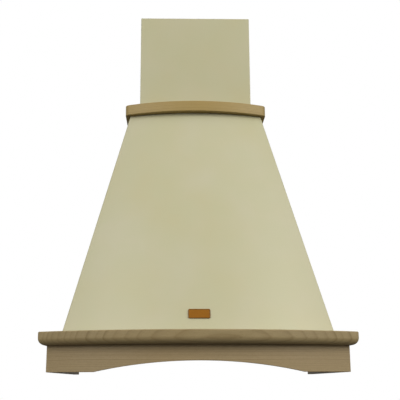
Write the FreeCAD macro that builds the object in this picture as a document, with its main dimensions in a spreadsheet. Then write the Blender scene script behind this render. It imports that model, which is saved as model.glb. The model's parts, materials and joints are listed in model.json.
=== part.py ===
import FreeCAD, Part
import collections
import math
import os

import Sketcher

# A 600 mm dome cooker hood: painted canopy and chimney, beech rail, apron and collar, and the
# filters, lamps, buttons and blower inside.
# X runs to the right, Y into the wall (the wall's face is y = 0) and Z up. Heights in this file are
# measured from the apron's lower edge; every sub-part is then lowered by hang_height, so that the
# origin is the centre of the four wall fixings.

SIZES = {
    "hang_height": 330,  # centre of the wall fixings above the apron's lower edge
    "gap": 0.3,  # between pieces that are slid or pushed together
    "sheet": 1.0,  # painted and galvanised steel sheet
    # beech rail round the foot of the canopy
    "rail_width": 600,
    "rail_depth": 427,  # wall to the front corners
    "rail_bow": 74,  # how far the front's middle stands before its corners
    "rail_height": 25,
    "rail_board": 58,
    "rail_round": 13,
    "rail_top_edge": 1.5,
    # beech apron under the rail
    "apron_inset": 15,
    "apron_front_inset": 14,
    "apron_bow": 65,
    "apron_height": 49,
    "apron_thick": 12,
    "arch_chord": 388,
    "arch_rise": 20,
    "block_leg": 45,
    "block_height": 34,
    # canopy
    "foot_width": 518,
    "foot_depth": 405,
    "foot_bow": 57,
    "head_ledge": 21,  # beside the chimney
    "head_setback": 7,  # behind the collar's front corners
    "head_bow": 24,
    "canopy_height": 488,
    "foot_flange": 6,
    "canopy_return": 20,
    "fold_round": 4,
    # beech collar
    "collar_ledge": 31.5,  # beside the chimney
    "collar_depth": 253,  # wall to the front corners
    "collar_bow": 33,
    "collar_height": 23,
    "collar_round": 13,
    "collar_edge": 1,
    "collar_screw_rear": 48,
    "collar_screw_front": 180,
    "collar_screw_x": 31,
    # chimney
    "chimney_width": 250,
    "chimney_setback": 13,  # behind the collar's front corners
    "chimney_height": 242,
    "chimney_return": 20,
    "chimney_bend": 2,
    "chimney_seat": 15,
    "extension_gap": 0.6,
    "extension_height": 230,
    "extension_notch": 32,
    "vent_length": 70,
    "vent_width": 4,
    "vent_pitch": 12,
    "vent_count": 5,
    "vent_top": 50,
    "bracket_sheet": 1.5,
    "bracket_height": 20,
    "bracket_drop": 8,
    "bracket_arm": 40,
    "bracket_step": 26,
    "bracket_hole": 2.75,
    "bracket_spacing": 120,
    # blank name plate
    "badge_width": 41,
    "badge_height": 19,
    "badge_thick": 1.6,
    "badge_round": 3,
    "badge_level": 105,
    "badge_glue": 0.05,
    "badge_edge": 0.4,
    # tray that closes the underside
    "tray_recess": 2,
    "tray_lip": 8,
    "screw_edge": 4,
    "front_screw_x": 162,
    "side_screw_rear": 61,
    "side_screw_front": 324,
    # back plate and its wall fixings
    "plate_sheet": 1.5,
    "plate_width": 300,
    "plate_top": 448,
    "plate_corner": 8,
    "plate_screw_edge": 20,
    "fixing_radius": 4.25,
    "fixing_spacing_x": 240,
    "fixing_spacing_z": 160,
    # grease filters
    "filter_width": 225,
    "filter_depth": 300,
    "filter_thick": 9,
    "filter_middle_gap": 10,
    "filter_rear": 18,
    "filter_hinge_gap": 2.5,
    "filter_side_gap": 1,
    "filter_border": 14,
    "filter_front_border": 26,
    "filter_lip": 1,
    "mesh_thick": 6,
    "mesh_slack": 0.1,
    "tongue_width": 30,
    "tongue_reach": 8,
    "tongue_thick": 1,
    "tongue_inset": 30,
    "latch_width": 44,
    "latch_length": 14,
    "latch_thick": 3.5,
    "latch_engage": 5,
    "latch_travel": 6,
    "tab_width": 22,
    "tab_thick": 3,
    "tab_drop": 9,
    # lamps
    "lamp_x": 165,
    "lamp_y": 368,
    "lamp_radius": 30,
    "lamp_height": 28,
    "lamp_wall": 1.5,
    "bezel_radius": 35,
    "bezel_thick": 1.5,
    "lens_radius": 26,
    "lens_thick": 3,
    "lens_seat": 1.5,
    "bulb_radius": 9,
    "bulb_height": 12,
    # control panel
    "fascia_y": 386,
    "fascia_width": 166,
    "fascia_depth": 40,
    "fascia_thick": 1.5,
    "fascia_round": 5,
    "control_width": 150,
    "control_depth": 28,
    "control_height": 32,
    "control_wall": 2,
    "button_count": 5,
    "button_pitch": 28,
    "button_width": 18,
    "button_depth": 12,
    "button_travel": 3,
    "button_proud": 2,  # what still stands below the fascia when a button is pushed in
    "button_round": 1.25,
    "button_flange": 1.5,
    "button_flange_thick": 2,
    "button_tail": 2,
    # blower
    "blower_level": 250,
    "blower_y": 174,
    "scroll_radius": 98,
    "scroll_growth": 10,
    "scroll_width": 150,
    "scroll_wall": 2.5,
    "outlet_rise": 175,
    "inlet_radius": 70,
    "rim_width": 16,
    "impeller_radius": 80,
    "impeller_width": 112,
    "blade_chord": 12,
    "blade_thick": 1,
    "blade_lean": 5,
    "blade_count": 36,
    "hub_thick": 2,
    "hub_boss_radius": 10,
    "hub_boss_length": 14,
    "ring_thick": 2,
    "motor_radius": 41,
    "motor_length": 62,
    "motor_round": 5,
    "bearing_radius": 12,
    "bearing_length": 5,
    "shaft_radius": 4,
    "shaft_slack": 0.05,
    "spider_sheet": 2,
    "spider_hub": 30,
    "spider_arm": 14,
    "spider_reach": 84,
    "spider_screw": 78,
    # spigot and its non-return flaps
    "collar_plate": 2,
    "spigot_radius": 75,
    "spigot_wall": 2,
    "spigot_height": 62,
    "flap_level": 22,
    "flap_gap": 1.2,
    "flap_thick": 1.2,
    "knuckle_radius": 3,
    "knuckle_length": 20,
    "pin_radius": 1.5,
    "pin_slack": 0.06,
    "ledge_width": 4,
    "ledge_thick": 2,
    # struts that carry the blower from the back plate
    "strut_width": 20,
    "strut_sheet": 2,
    "strut_joint": 72,  # wall to the screws into the side of the scroll
    "strut_spread": 69,
    "strut_height": 100,
    "strut_foot_spacing": 80,
    "strut_joint_spacing": 60,
    # electronics box
    "box_x": 84,
    "box_width": 64,
    "box_depth": 44,
    "box_bottom": 282,
    "box_height": 96,
    "box_wall": 2,
    "box_screw_spacing": 60,
    "lid_thick": 2,
    "gland_radius": 9,
    "gland_neck": 6,
    "gland_bore": 3.6,
    "gland_length": 14,
    "gland_flange": 4,
    # screws
    "screw_radius": 1.75,
    "screw_head": 3.6,
    "screw_head_height": 2,
    "screw_recess": 1.3,
    "screw_recess_depth": 1,
    "wood_screw_length": 14,
    "sheet_screw_length": 7,
}

RAIL_SWEEP = 90  # degrees that the bowed rail is turned through, more than its mitres leave

doc = FreeCAD.newDocument("cooker_hood")
SUB_PARTS = []

Corner = collections.namedtuple("Corner", "x y bend")
Hole = collections.namedtuple("Hole", "x y radius")


class Size:
    """A length that carries both its value and its formula on the sheet."""

    def __init__(self, value, formula):
        self.value = float(value)
        self.formula = formula

    def joined(self, sign, other, value):
        return Size(value, f"({self.formula} {sign} {as_size(other).formula})")

    def __add__(self, other):
        return self.joined("+", other, self.value + as_size(other).value)

    def __sub__(self, other):
        return self.joined("-", other, self.value - as_size(other).value)

    def __mul__(self, other):
        return self.joined("*", other, self.value * as_size(other).value)

    def __truediv__(self, other):
        return self.joined("/", other, self.value / as_size(other).value)

    def __radd__(self, other):
        return as_size(other) + self

    def __rsub__(self, other):
        return as_size(other) - self

    def __rmul__(self, other):
        return as_size(other) * self

    def __neg__(self):
        return Size(-self.value, f"(0 - {self.formula})")


def as_size(number):
    return number if isinstance(number, Size) else Size(number, f"({float(number)})")


def root(size):
    return Size(math.sqrt(size.value), f"sqrt({size.formula})")


def absolute(size):
    return Size(abs(size.value), f"abs({size.formula})")


def ordered(first, second):
    """Two levels, the lower one first."""
    return sorted((as_size(first), as_size(second)), key=lambda level: level.value)


class Sheet:
    """The driving dimensions, as attributes that hold a Size each."""

    def __init__(self):
        page = doc.addObject("Spreadsheet::Sheet", "sizes")
        for row, (alias, number) in enumerate(SIZES.items(), start=1):
            page.set(f"A{row}", alias.replace("_", " "))
            page.set(f"B{row}", str(number))
            page.setAlias(f"B{row}", alias)
            setattr(self, alias, Size(number, f"sizes.{alias}"))


s = Sheet()
doc.recompute()


# ---------------------------------------------------------------- making pieces


def bind(thing, path, size):
    thing.setExpression(path, as_size(size).formula)


def new_body(name, sub_part=True):
    body = doc.addObject("PartDesign::Body", name)
    body.Label = name
    body.AllowCompound = True
    if sub_part:
        bind(body, "Placement.Base.z", -s.hang_height)
        SUB_PARTS.append(body)
    return body


def points(*pairs):
    """Corners joined by straight edges."""
    return [Corner(as_size(pair[0]), as_size(pair[1]), pair[2] if len(pair) > 2 else None) for pair in pairs]


def rectangle(x0, x1, y0, y1):
    return points((x0, y0), (x1, y0), (x1, y1), (x0, y1))


def rounded(x0, x1, y0, y1, radius):
    return points(
        (x0 + radius, y0), (x1 - radius, y0, radius), (x1, y0 + radius), (x1, y1 - radius, radius),
        (x1 - radius, y1), (x0 + radius, y1, radius), (x0, y1 - radius), (x0, y0 + radius, radius),
    )


def mirrored(outline, side):
    """The outline itself for side 1, and its mirror image across x = 0 for side -1."""
    if isinstance(outline, Hole):
        return Hole(side * outline.x, outline.y, outline.radius)
    return [Corner(side * as_size(c.x), c.y, None if c.bend is None else side * c.bend) for c in outline]


def edge_between(start, end, bend):
    """A straight edge, or an arc whose centre lies to the left of its way for a positive bend."""
    a = FreeCAD.Vector(start.x.value, start.y.value, 0)
    b = FreeCAD.Vector(end.x.value, end.y.value, 0)
    if bend is None:
        return Part.LineSegment(a, b)
    chord = b - a
    radius = abs(bend.value)
    height = math.sqrt(max(radius**2 - chord.Length**2 / 4, 0))
    left = FreeCAD.Vector(-chord.y, chord.x, 0).normalize()
    centre = (a + b) * 0.5 + left * (height if bend.value > 0 else -height)
    first, last = (a, b) if bend.value > 0 else (b, a)
    angles = [math.atan2(p.y - centre.y, p.x - centre.x) for p in (first, last)]
    circle = Part.Circle(centre, FreeCAD.Vector(0, 0, 1), radius)
    return Part.ArcOfCircle(circle, angles[0], angles[1])


def draw(sketch, outline):
    """Adds one closed outline, or a circle, with each of its sizes bound to the sheet."""
    rules = []
    bound = []
    base = sketch.GeometryCount

    def rule(kind, *where, size=None):
        if size is None:
            rules.append(Sketcher.Constraint(kind, *where))
        else:
            rules.append(Sketcher.Constraint(kind, *where, size.value))
            bound.append((sketch.ConstraintCount + len(rules) - 1, size))

    if isinstance(outline, Hole):
        x, y, radius = (as_size(part) for part in outline)
        centre = FreeCAD.Vector(x.value, y.value, 0)
        sketch.addGeometry(Part.Circle(centre, FreeCAD.Vector(0, 0, 1), radius.value))
        rule("DistanceX", -1, 1, base, 3, size=x)
        rule("DistanceY", -1, 1, base, 3, size=y)
        rule("Radius", base, size=radius)
    else:
        count = len(outline)
        ends = []
        for index, corner in enumerate(outline):
            bend = None if corner.bend is None else as_size(corner.bend)
            sketch.addGeometry(edge_between(corner, outline[(index + 1) % count], bend))
            ends.append((2, 1) if bend is not None and bend.value < 0 else (1, 2))
            if bend is not None:
                rule("Radius", base + index, size=absolute(bend))
        for index, corner in enumerate(outline):
            after = (index + 1) % count
            rule("Coincident", base + index, ends[index][1], base + after, ends[after][0])
            rule("DistanceX", -1, 1, base + index, ends[index][0], size=corner.x)
            rule("DistanceY", -1, 1, base + index, ends[index][0], size=corner.y)
    sketch.addConstraint(rules)
    for index, size in bound:
        bind(sketch, f"Constraints[{index}]", size)


def sketch_on(body, plane, level, outlines):
    """A sketch across the plane's axis at the given level. XZ's own axis points to -Y."""
    origin_plane = next(f for f in body.Origin.OriginFeatures if f.Role == plane + "_Plane")
    sketch = body.newObject("Sketcher::SketchObject", body.Name + "_sketch")
    sketch.AttachmentSupport = [(origin_plane, "")]
    sketch.MapMode = "FlatFace"
    bind(sketch, "AttachmentOffset.Base.z", -as_size(level) if plane == "XZ" else as_size(level))
    for outline in outlines:
        draw(sketch, outline)
    return sketch


def pad(body, plane, start, end, *outlines):
    """Material between two levels on the plane's world axis."""
    feature = body.newObject("PartDesign::Pad", body.Name + "_pad")
    feature.Profile = sketch_on(body, plane, start, outlines)
    bind(feature, "Length", as_size(end) - start)
    feature.Reversed = plane == "XZ"
    doc.recompute()
    return feature


def cut(body, plane, start, end, *outlines):
    """A pocket between two levels on the plane's world axis."""
    before = body.Shape.Volume
    feature = body.newObject("PartDesign::Pocket", body.Name + "_pocket")
    feature.Profile = sketch_on(body, plane, start, outlines)
    bind(feature, "Length", as_size(end) - start)
    feature.Reversed = plane != "XZ"
    doc.recompute()
    if not body.Shape.Volume < before - 1e-6:
        raise RuntimeError(f"{body.Name}: a pocket takes nothing away")
    return feature


def loft(body, kind, low, low_outline, high, high_outline):
    feature = body.newObject("PartDesign::" + kind, body.Name + "_loft")
    feature.Profile = sketch_on(body, "XY", low, [low_outline])
    feature.Sections = [sketch_on(body, "XY", high, [high_outline])]
    feature.Ruled = True
    doc.recompute()
    return feature


def round_edges(body, radius, chosen):
    """Rounds the edges of the body that chosen(edge) accepts."""
    tip = body.Tip
    names = [f"Edge{i}" for i, edge in enumerate(tip.Shape.Edges, start=1) if chosen(edge)]
    feature = body.newObject("PartDesign::Fillet", body.Name + "_fillet")
    feature.Base = (tip, names)
    bind(feature, "Radius", radius)
    doc.recompute()
    return feature


def ends_at(edge, axis, level):
    """True where both ends of the edge lie at a level on an axis, 0 to 2 for X to Z."""
    return all(abs(vertex.Point[axis] - level) < 0.01 for vertex in edge.Vertexes)


def round_outside(body, radius, level, inner_half, inner_front):
    """Rounds the edges of a three-sided ring at a level, but not those inside it or along the wall."""

    def is_outer(edge):
        box = edge.BoundBox
        beside = box.XMin > inner_half.value + 1 or box.XMax < -inner_half.value - 1
        before = box.YMax < inner_front.value - 1
        return ends_at(edge, 2, level.value) and (beside or before) and not ends_at(edge, 1, 0)

    round_edges(body, radius, is_outer)


def mitre_wedges(low, high, inner, outer):
    """The spaces of the front, left and right piece of a ring, parted from inner to outer corner."""
    inner_half, inner_front = inner
    half, corner = outer
    far = half * 2
    tip = inner_front + (corner - inner_front) * (far - inner_half) / (half - inner_half)
    side = points((inner_half, 0), (inner_half, inner_front), (far, tip), (far, 0))
    shapes = {
        "front": points((-inner_half, inner_front), (-far, tip), (far, tip), (inner_half, inner_front)),
        "left": mirrored(side, -1),
        "right": side,
    }
    wedges = {}
    for word, shape in shapes.items():
        wedges[word] = new_body(f"wedge_{word}", sub_part=False)
        pad(wedges[word], "XY", low, high, shape)
    return wedges


def part_of(name, blank, wedge):
    """The share of a blank that lies in a wedge, as mitred pieces are cut from one ring."""
    piece = doc.addObject("Part::Common", name)
    piece.Label = name
    piece.Base = blank
    piece.Tool = wedge
    bind(piece, "Placement.Base.z", -s.hang_height)
    doc.recompute()
    SUB_PARTS.append(piece)
    return piece


def screws(name, plane, head_level, points_at, centres, length):
    """Pan-head screws in one node: points_at is 1 or -1, the way the shanks run on the plane's axis."""
    add_screws(new_body(name), plane, head_level, points_at, centres, length)


def add_screws(body, plane, head_level, points_at, centres, length):
    seat = as_size(head_level)
    tip = seat + points_at * length
    top = seat - points_at * s.screw_head_height
    socket = top + points_at * s.screw_recess_depth
    for levels, radius, make in (
        ((seat, tip), s.screw_radius, pad),
        ((seat, top), s.screw_head, pad),
        ((socket, top), s.screw_recess, cut),
    ):
        low, high = ordered(*levels)
        make(body, plane, low, high, *[Hole(x, y, radius) for x, y in centres])


def drill(body, plane, start, end, centres, radius=s.screw_radius):
    cut(body, plane, start, end, *[Hole(x, y, radius) for x, y in centres])


# ---------------------------------------------------------------- shared lines


def bow_radius(half, bow):
    """Radius of the arc through both corners and the middle of a bowed front."""
    return (half * half + bow * bow) / (2 * bow)


def arc_y(centre, radius, x):
    """Y of a bowed front at x, on the arc about (0, centre)."""
    return centre - root(radius * radius - x * x)


def front_outline(half, corner, radius, back, fold=None):
    """A plan with a straight back and sides, and a bowed front, whose corners may have a fold's radius."""
    if fold is None:
        return points((-half, back), (-half, corner, radius), (half, corner), (half, back))
    centre = corner + root(radius * radius - half * half)
    fold_x = half - fold
    fold_y = arc_y(centre, radius - fold, fold_x)
    stretch = radius / (radius - fold)
    touch_x = fold_x * stretch
    touch_y = centre + (fold_y - centre) * stretch
    return points(
        (-half, back), (-half, fold_y, fold), (-touch_x, touch_y, radius),
        (touch_x, touch_y, fold), (half, fold_y), (half, back),
    )


def bowed_board(half, corner, radius, inner_half, inner_corner, inner_radius):
    """The plan of a bowed board with a mitre at each end."""
    return points(
        (-half, corner, radius), (half, corner),
        (inner_half, inner_corner, -inner_radius), (-inner_half, inner_corner),
    )


def side_board(half, corner, inner_half, inner_corner):
    """The plan of the right-hand board, square at the wall and mitred at its front."""
    return points((half, 0), (inner_half, 0), (inner_half, inner_corner), (half, corner))


deck = s.apron_height + s.rail_height
canopy_top = deck + s.canopy_height
collar_top = canopy_top + s.collar_height
chimney_top = canopy_top + s.chimney_height

rail_half = s.rail_width / 2
rail_radius = bow_radius(rail_half, s.rail_bow)
rail_centre = rail_radius - s.rail_depth - s.rail_bow
rail_inner_half = rail_half - s.rail_board
rail_inner_radius = rail_radius - s.rail_board
rail_inner_corner = arc_y(rail_centre, rail_inner_radius, rail_inner_half)

apron_half = rail_half - s.apron_inset
apron_corner = -(s.rail_depth - s.apron_front_inset)
apron_radius = bow_radius(apron_half, s.apron_bow)
apron_centre = apron_radius + apron_corner - s.apron_bow
apron_inner_half = apron_half - s.apron_thick
apron_inner_radius = apron_radius - s.apron_thick
apron_inner_corner = arc_y(apron_centre, apron_inner_radius, apron_inner_half)

tray_floor = s.apron_height + s.tray_recess
tray_half = rail_inner_half - s.gap
tray_radius = rail_inner_radius - s.gap
tray_front = arc_y(rail_centre, tray_radius, tray_half)
tray_back = -s.plate_sheet
lip_half = tray_half + s.gap + s.tray_lip
lip_radius = tray_radius + s.gap + s.tray_lip
lip_front = arc_y(rail_centre, lip_radius, lip_half)

chimney_half = s.chimney_width / 2
chimney_depth = s.collar_depth - s.chimney_setback
head_half = chimney_half + s.head_ledge
head_depth = s.collar_depth - s.head_setback
collar_half = chimney_half + s.collar_ledge

duct_y = -(chimney_depth / 2)
scroll_half = s.scroll_width / 2
outlet_level = s.blower_level + s.outlet_rise
spigot_level = outlet_level + s.collar_plate

fixing_x = s.fixing_spacing_x / 2
fixing_z = s.fixing_spacing_z / 2


def bow_point(radius, x):
    return arc_y(rail_centre, radius, as_size(x))


screw_line_half = rail_inner_half + s.screw_edge
screw_line_radius = rail_inner_radius + s.screw_edge
front_screws = [(x, bow_point(screw_line_radius, x)) for x in (-s.front_screw_x, 0, s.front_screw_x)]


def side_screws(side):
    return [(side * screw_line_half, -s.side_screw_rear), (side * screw_line_half, -s.side_screw_front)]


tray_screw_centres = front_screws + side_screws(-1) + side_screws(1)


# ---------------------------------------------------------------- beech rail and apron


def rail_section(edge):
    """The rail cut across, with its outer face at the left: quarter-round foot, chamfered top."""
    low, high = s.apron_height, deck
    inner = edge + s.rail_board
    foot, brow = s.rail_round, s.rail_top_edge
    return points(
        (edge + foot, low), (inner, low), (inner, high), (edge + brow, high), (edge, high - brow),
        (edge, low + foot, foot),
    )


def make_rail():
    """The front is turned about the bow's centre, the sides are straight, and all three are mitred."""
    pilot = deck - s.wood_screw_length
    front = new_body("rail_front_blank", sub_part=False)
    bind(front, "Placement.Base.y", rail_centre)
    turned = front.newObject("PartDesign::Revolution", "rail_front_turned")
    turned.Profile = sketch_on(front, "YZ", 0, [rail_section(-rail_radius)])
    turned.ReferenceAxis = (turned.Profile[0], ["V_Axis"])
    turned.Angle = RAIL_SWEEP
    turned.Midplane = True
    doc.recompute()
    drill(front, "XY", pilot, deck, [(x, y - rail_centre) for x, y in front_screws])
    blanks = {"front": front}
    for side, word in ((-1, "left"), (1, "right")):
        blanks[word] = new_body(f"rail_{word}_blank", sub_part=False)
        pad(blanks[word], "XZ", -s.rail_depth, 0, mirrored(rail_section(-rail_half), -side))
        drill(blanks[word], "XY", pilot, deck, side_screws(side))
    wedges = mitre_wedges(
        s.apron_height, deck, (rail_inner_half, rail_inner_corner), (rail_half, -s.rail_depth)
    )
    for word, wedge in wedges.items():
        part_of("rail_" + word, blanks[word], wedge)


def make_apron():
    front = new_body("apron_front")
    outline = bowed_board(
        apron_half, apron_corner, apron_radius, apron_inner_half, apron_inner_corner, apron_inner_radius
    )
    pad(front, "XY", 0, s.apron_height, outline)
    arch_half = s.arch_chord / 2
    arch_radius = bow_radius(arch_half, s.arch_rise)
    arch = points((-arch_half, 0), (arch_half, 0, arch_radius))
    cut(front, "XZ", apron_corner - s.apron_bow, apron_inner_corner, arch)
    for side, word in ((-1, "left"), (1, "right")):
        board = new_body("apron_" + word)
        outline = side_board(apron_half, apron_corner, apron_inner_half, apron_inner_corner)
        pad(board, "XY", 0, s.apron_height, mirrored(outline, side))


def make_corner_blocks():
    """Glue blocks in the corners behind the apron, under the rail."""
    blocks = new_body("corner_blocks")
    near = apron_inner_half - s.block_leg
    outline = points(
        (near, arc_y(apron_centre, apron_inner_radius, near), apron_inner_radius),
        (apron_inner_half, apron_inner_corner),
        (apron_inner_half, apron_inner_corner + s.block_leg),
    )
    bottom = s.apron_height - s.block_height
    pad(blocks, "XY", bottom, s.apron_height, outline, mirrored(outline, -1))


# ---------------------------------------------------------------- canopy, collar and chimney


def make_canopy():
    canopy = new_body("canopy_shell")
    foot_half = s.foot_width / 2
    foot_radius = bow_radius(foot_half, s.foot_bow)
    head_radius = bow_radius(head_half, s.head_bow)

    def foot(inset):
        fold = s.fold_round - inset
        return front_outline(foot_half - inset, -s.foot_depth + inset, foot_radius, -as_size(inset), fold)

    def head(inset):
        fold = s.fold_round - inset
        return front_outline(head_half - inset, -head_depth + inset, head_radius, -as_size(inset), fold)

    inside = s.sheet
    loft(canopy, "AdditiveLoft", deck, foot(0), canopy_top, head(0))
    loft(canopy, "SubtractiveLoft", deck + inside, foot(inside), canopy_top - inside, head(inside))
    lip = s.sheet + s.foot_flange
    flange_front = -s.foot_depth + lip
    flange_hole = front_outline(foot_half - lip, flange_front, foot_radius, as_size(0))
    cut(canopy, "XY", deck, deck + s.sheet, flange_hole)
    seat = s.chimney_seat
    duct_half = chimney_half - seat
    drill(canopy, "XY", canopy_top - s.sheet, canopy_top, collar_screw_centres())
    cut(
        canopy, "XY", canopy_top - s.sheet, canopy_top,
        rectangle(-duct_half, duct_half, -chimney_depth + seat, -seat),
    )
    low_half = foot_half - s.canopy_return
    high_half = head_half + (foot_half - head_half) * seat / s.canopy_height - s.canopy_return
    high = canopy_top - seat
    window = points((-low_half, deck), (low_half, deck), (high_half, high), (-high_half, high))
    cut(canopy, "XZ", -s.sheet, 0, window)


def collar_screw_centres():
    """Two screws up into each arm of the collar and two into its front."""
    arm = chimney_half + s.head_ledge / 2
    front = -(chimney_depth + s.collar_bow / 2 - s.sheet)
    centres = []
    for side in (-1, 1):
        centres.append((side * arm, -s.collar_screw_rear))
        centres.append((side * arm, -s.collar_screw_front))
        centres.append((side * s.collar_screw_x, front))
    return centres


def make_collar():
    half = collar_half
    inner_half = chimney_half + s.gap
    inner_front = -chimney_depth - s.gap
    radius = bow_radius(half, s.collar_bow)
    blank = new_body("collar_blank", sub_part=False)
    outline = points(
        (-half, 0), (-half, -s.collar_depth, radius), (half, -s.collar_depth), (half, 0),
        (inner_half, 0), (inner_half, inner_front), (-inner_half, inner_front), (-inner_half, 0),
    )
    pad(blank, "XY", canopy_top, collar_top, outline)
    drill(blank, "XY", canopy_top, canopy_top + s.wood_screw_length - s.sheet, collar_screw_centres())
    round_edges(
        blank,
        s.collar_round,
        lambda edge: ends_at(edge, 1, -s.collar_depth.value)
        and abs(edge.Length - s.collar_height.value) < 0.01,
    )
    for level in (canopy_top, collar_top):
        round_outside(blank, s.collar_edge, level, inner_half, inner_front)
    wedges = mitre_wedges(canopy_top, collar_top, (inner_half, inner_front), (half, -s.collar_depth))
    for word, wedge in wedges.items():
        part_of("collar_" + word, blank, wedge)


def channel(half, front, back, sheet, lip):
    """A three-sided box section, open to the wall, with two lips turned inwards along the wall."""
    inner = half - sheet
    edge = half - lip
    return points(
        (-half, back), (-half, front), (half, front), (half, back),
        (edge, back), (edge, back - sheet), (inner, back - sheet), (inner, front + sheet),
        (-inner, front + sheet), (-inner, back - sheet), (-edge, back - sheet), (-edge, back),
    )


def bend_corners(body, front, radius):
    round_edges(
        body,
        radius,
        lambda edge: ends_at(edge, 1, front.value) and edge.BoundBox.ZLength > edge.BoundBox.XLength,
    )


def extension_lines():
    """Half width, front, back and foot of the sliding upper chimney."""
    clear = s.sheet + s.extension_gap
    return (
        chimney_half - clear,
        -chimney_depth + clear,
        -clear,
        canopy_top + s.gap,
    )


def make_chimney():
    cover = new_body("chimney_cover")
    section = channel(chimney_half, -chimney_depth, as_size(0), s.sheet, s.chimney_return)
    pad(cover, "XY", canopy_top, chimney_top, section)
    bend_corners(cover, -chimney_depth, s.chimney_bend)

    half, front, back, foot = extension_lines()
    top = foot + s.extension_height
    extension = new_body("chimney_extension")
    pad(extension, "XY", foot, top, channel(half, front, back, s.sheet, s.chimney_return))
    bend_corners(extension, front, s.chimney_bend)
    notch_half = half - s.sheet
    notch = rectangle(-notch_half, notch_half, top - s.extension_notch, top)
    cut(extension, "XZ", back - s.sheet, back, notch)
    vents = extension_vents((front + back) / 2, top)
    for side in (-1, 1):
        low, high = ordered(side * half, side * (half - s.sheet))
        cut(extension, "YZ", low, high, *vents)
        drill(extension, "YZ", low, high, [bracket_screw(top)])


def extension_vents(middle, top):
    slots = []
    for index in range(int(s.vent_count.value)):
        z = top - s.vent_top - s.vent_pitch * index
        slots.append(
            rounded(
                middle - s.vent_length / 2, middle + s.vent_length / 2,
                z - s.vent_width / 2, z + s.vent_width / 2, s.vent_width / 2 - s.gap / 2,
            )
        )
    return slots


def bracket_screw(top):
    """Place, in Y and Z, of the screw that holds the sliding chimney to its bracket."""
    return (-s.bracket_arm + s.screw_head * 2, top - s.bracket_drop - s.bracket_height / 2)


def make_chimney_bracket():
    """Folded steel bracket: flat on the wall, stepped forward, with an arm inside each cheek."""
    half, _, back, foot = extension_lines()
    top = foot + s.extension_height - s.bracket_drop
    out = half - s.sheet
    step = out - s.bracket_step
    sheet = s.bracket_sheet
    fold = back - s.sheet - s.gap
    body = new_body("chimney_bracket")
    outline = points(
        (-step, 0), (-step, fold), (-out, fold), (-out, -s.bracket_arm), (-out + sheet, -s.bracket_arm),
        (-out + sheet, fold - sheet), (-step + sheet, fold - sheet), (-step + sheet, -sheet),
        (step - sheet, -sheet), (step - sheet, fold - sheet), (out - sheet, fold - sheet),
        (out - sheet, -s.bracket_arm), (out, -s.bracket_arm), (out, fold), (step, fold), (step, 0),
    )
    pad(body, "XY", top - s.bracket_height, top, outline)
    wall_x = s.bracket_spacing / 2
    middle = top - s.bracket_height / 2
    drill(body, "XZ", -sheet, 0, [(-wall_x, middle), (wall_x, middle)], s.bracket_hole)
    for low, high in ((-out, -out + sheet), (out - sheet, out)):
        drill(body, "YZ", low, high, [bracket_screw(top + s.bracket_drop)])
    fixing = new_body("chimney_screws")
    for side in (-1, 1):
        seat = side * (out - sheet)
        add_screws(fixing, "YZ", seat, side, [bracket_screw(top + s.bracket_drop)], sheet + s.sheet)


def make_badge():
    """Blank plate that lies on the canopy's slope, just in front of its middle."""
    slope_run = (s.foot_depth + s.foot_bow) - (head_depth + s.head_bow)
    lean = math.degrees(math.atan2(slope_run.value, s.canopy_height.value))
    share = (s.badge_level - deck) / s.canopy_height
    face = -(s.foot_depth + s.foot_bow) + slope_run * share
    body = new_body("badge_plate")
    half_width = s.badge_width / 2
    half_height = s.badge_height / 2
    outline = rounded(-half_width, half_width, -half_height, half_height, s.badge_round)
    pad(body, "XZ", -s.badge_thick, 0, outline)
    body.Placement.Rotation = FreeCAD.Rotation(FreeCAD.Vector(-1, 0, 0), lean)
    body.setExpression("Placement.Rotation.Angle", f"atan({slope_run.formula} / sizes.canopy_height)")
    bind(body, "Placement.Base.y", face - s.badge_glue)
    bind(body, "Placement.Base.z", s.badge_level - s.hang_height)
    round_edges(body, s.badge_edge, lambda edge: ends_at(edge, 1, -s.badge_thick.value))


# ---------------------------------------------------------------- underside


def filter_lines():
    """The near and far edge in X, and the front and rear edge in Y, of one filter's window."""
    near = s.filter_middle_gap / 2
    far = near + s.filter_width + 2 * s.filter_side_gap
    rear = -s.filter_rear
    front = rear - s.filter_hinge_gap - s.filter_depth - s.filter_side_gap
    return near, far, front, rear


def control_window():
    half = s.control_width / 2
    return rectangle(-half, half, -s.fascia_y - s.control_depth / 2, -s.fascia_y + s.control_depth / 2)


plate_screw_x = s.plate_width / 2 - s.plate_screw_edge
plate_screw_centres = [(x, (tray_floor + deck) / 2) for x in (-plate_screw_x, 0, plate_screw_x)]


def make_tray():
    tray = new_body("base_tray")
    pad(tray, "XY", tray_floor, deck + s.sheet, front_outline(tray_half, tray_front, tray_radius, tray_back))
    pad(tray, "XY", deck, deck + s.sheet, front_outline(lip_half, lip_front, lip_radius, tray_back))
    inner_radius = tray_radius - s.sheet
    inner_half = tray_half - s.sheet
    inner_front = arc_y(rail_centre, inner_radius, inner_half)
    hollow = front_outline(inner_half, inner_front, inner_radius, tray_back - s.sheet)
    cut(tray, "XY", tray_floor + s.sheet, deck + s.sheet, hollow)
    near, far, front, rear = filter_lines()
    window = rectangle(near, far, front, rear)
    cut(tray, "XY", tray_floor, tray_floor + s.sheet, window, mirrored(window, -1), control_window())
    lamp_hole = Hole(s.lamp_x, -s.lamp_y, s.lamp_radius + s.gap)
    cut(tray, "XY", tray_floor, tray_floor + s.sheet, lamp_hole, mirrored(lamp_hole, -1))
    drill(tray, "XY", deck, deck + s.sheet, tray_screw_centres)
    drill(tray, "XZ", tray_back - s.sheet, tray_back, plate_screw_centres)


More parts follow.
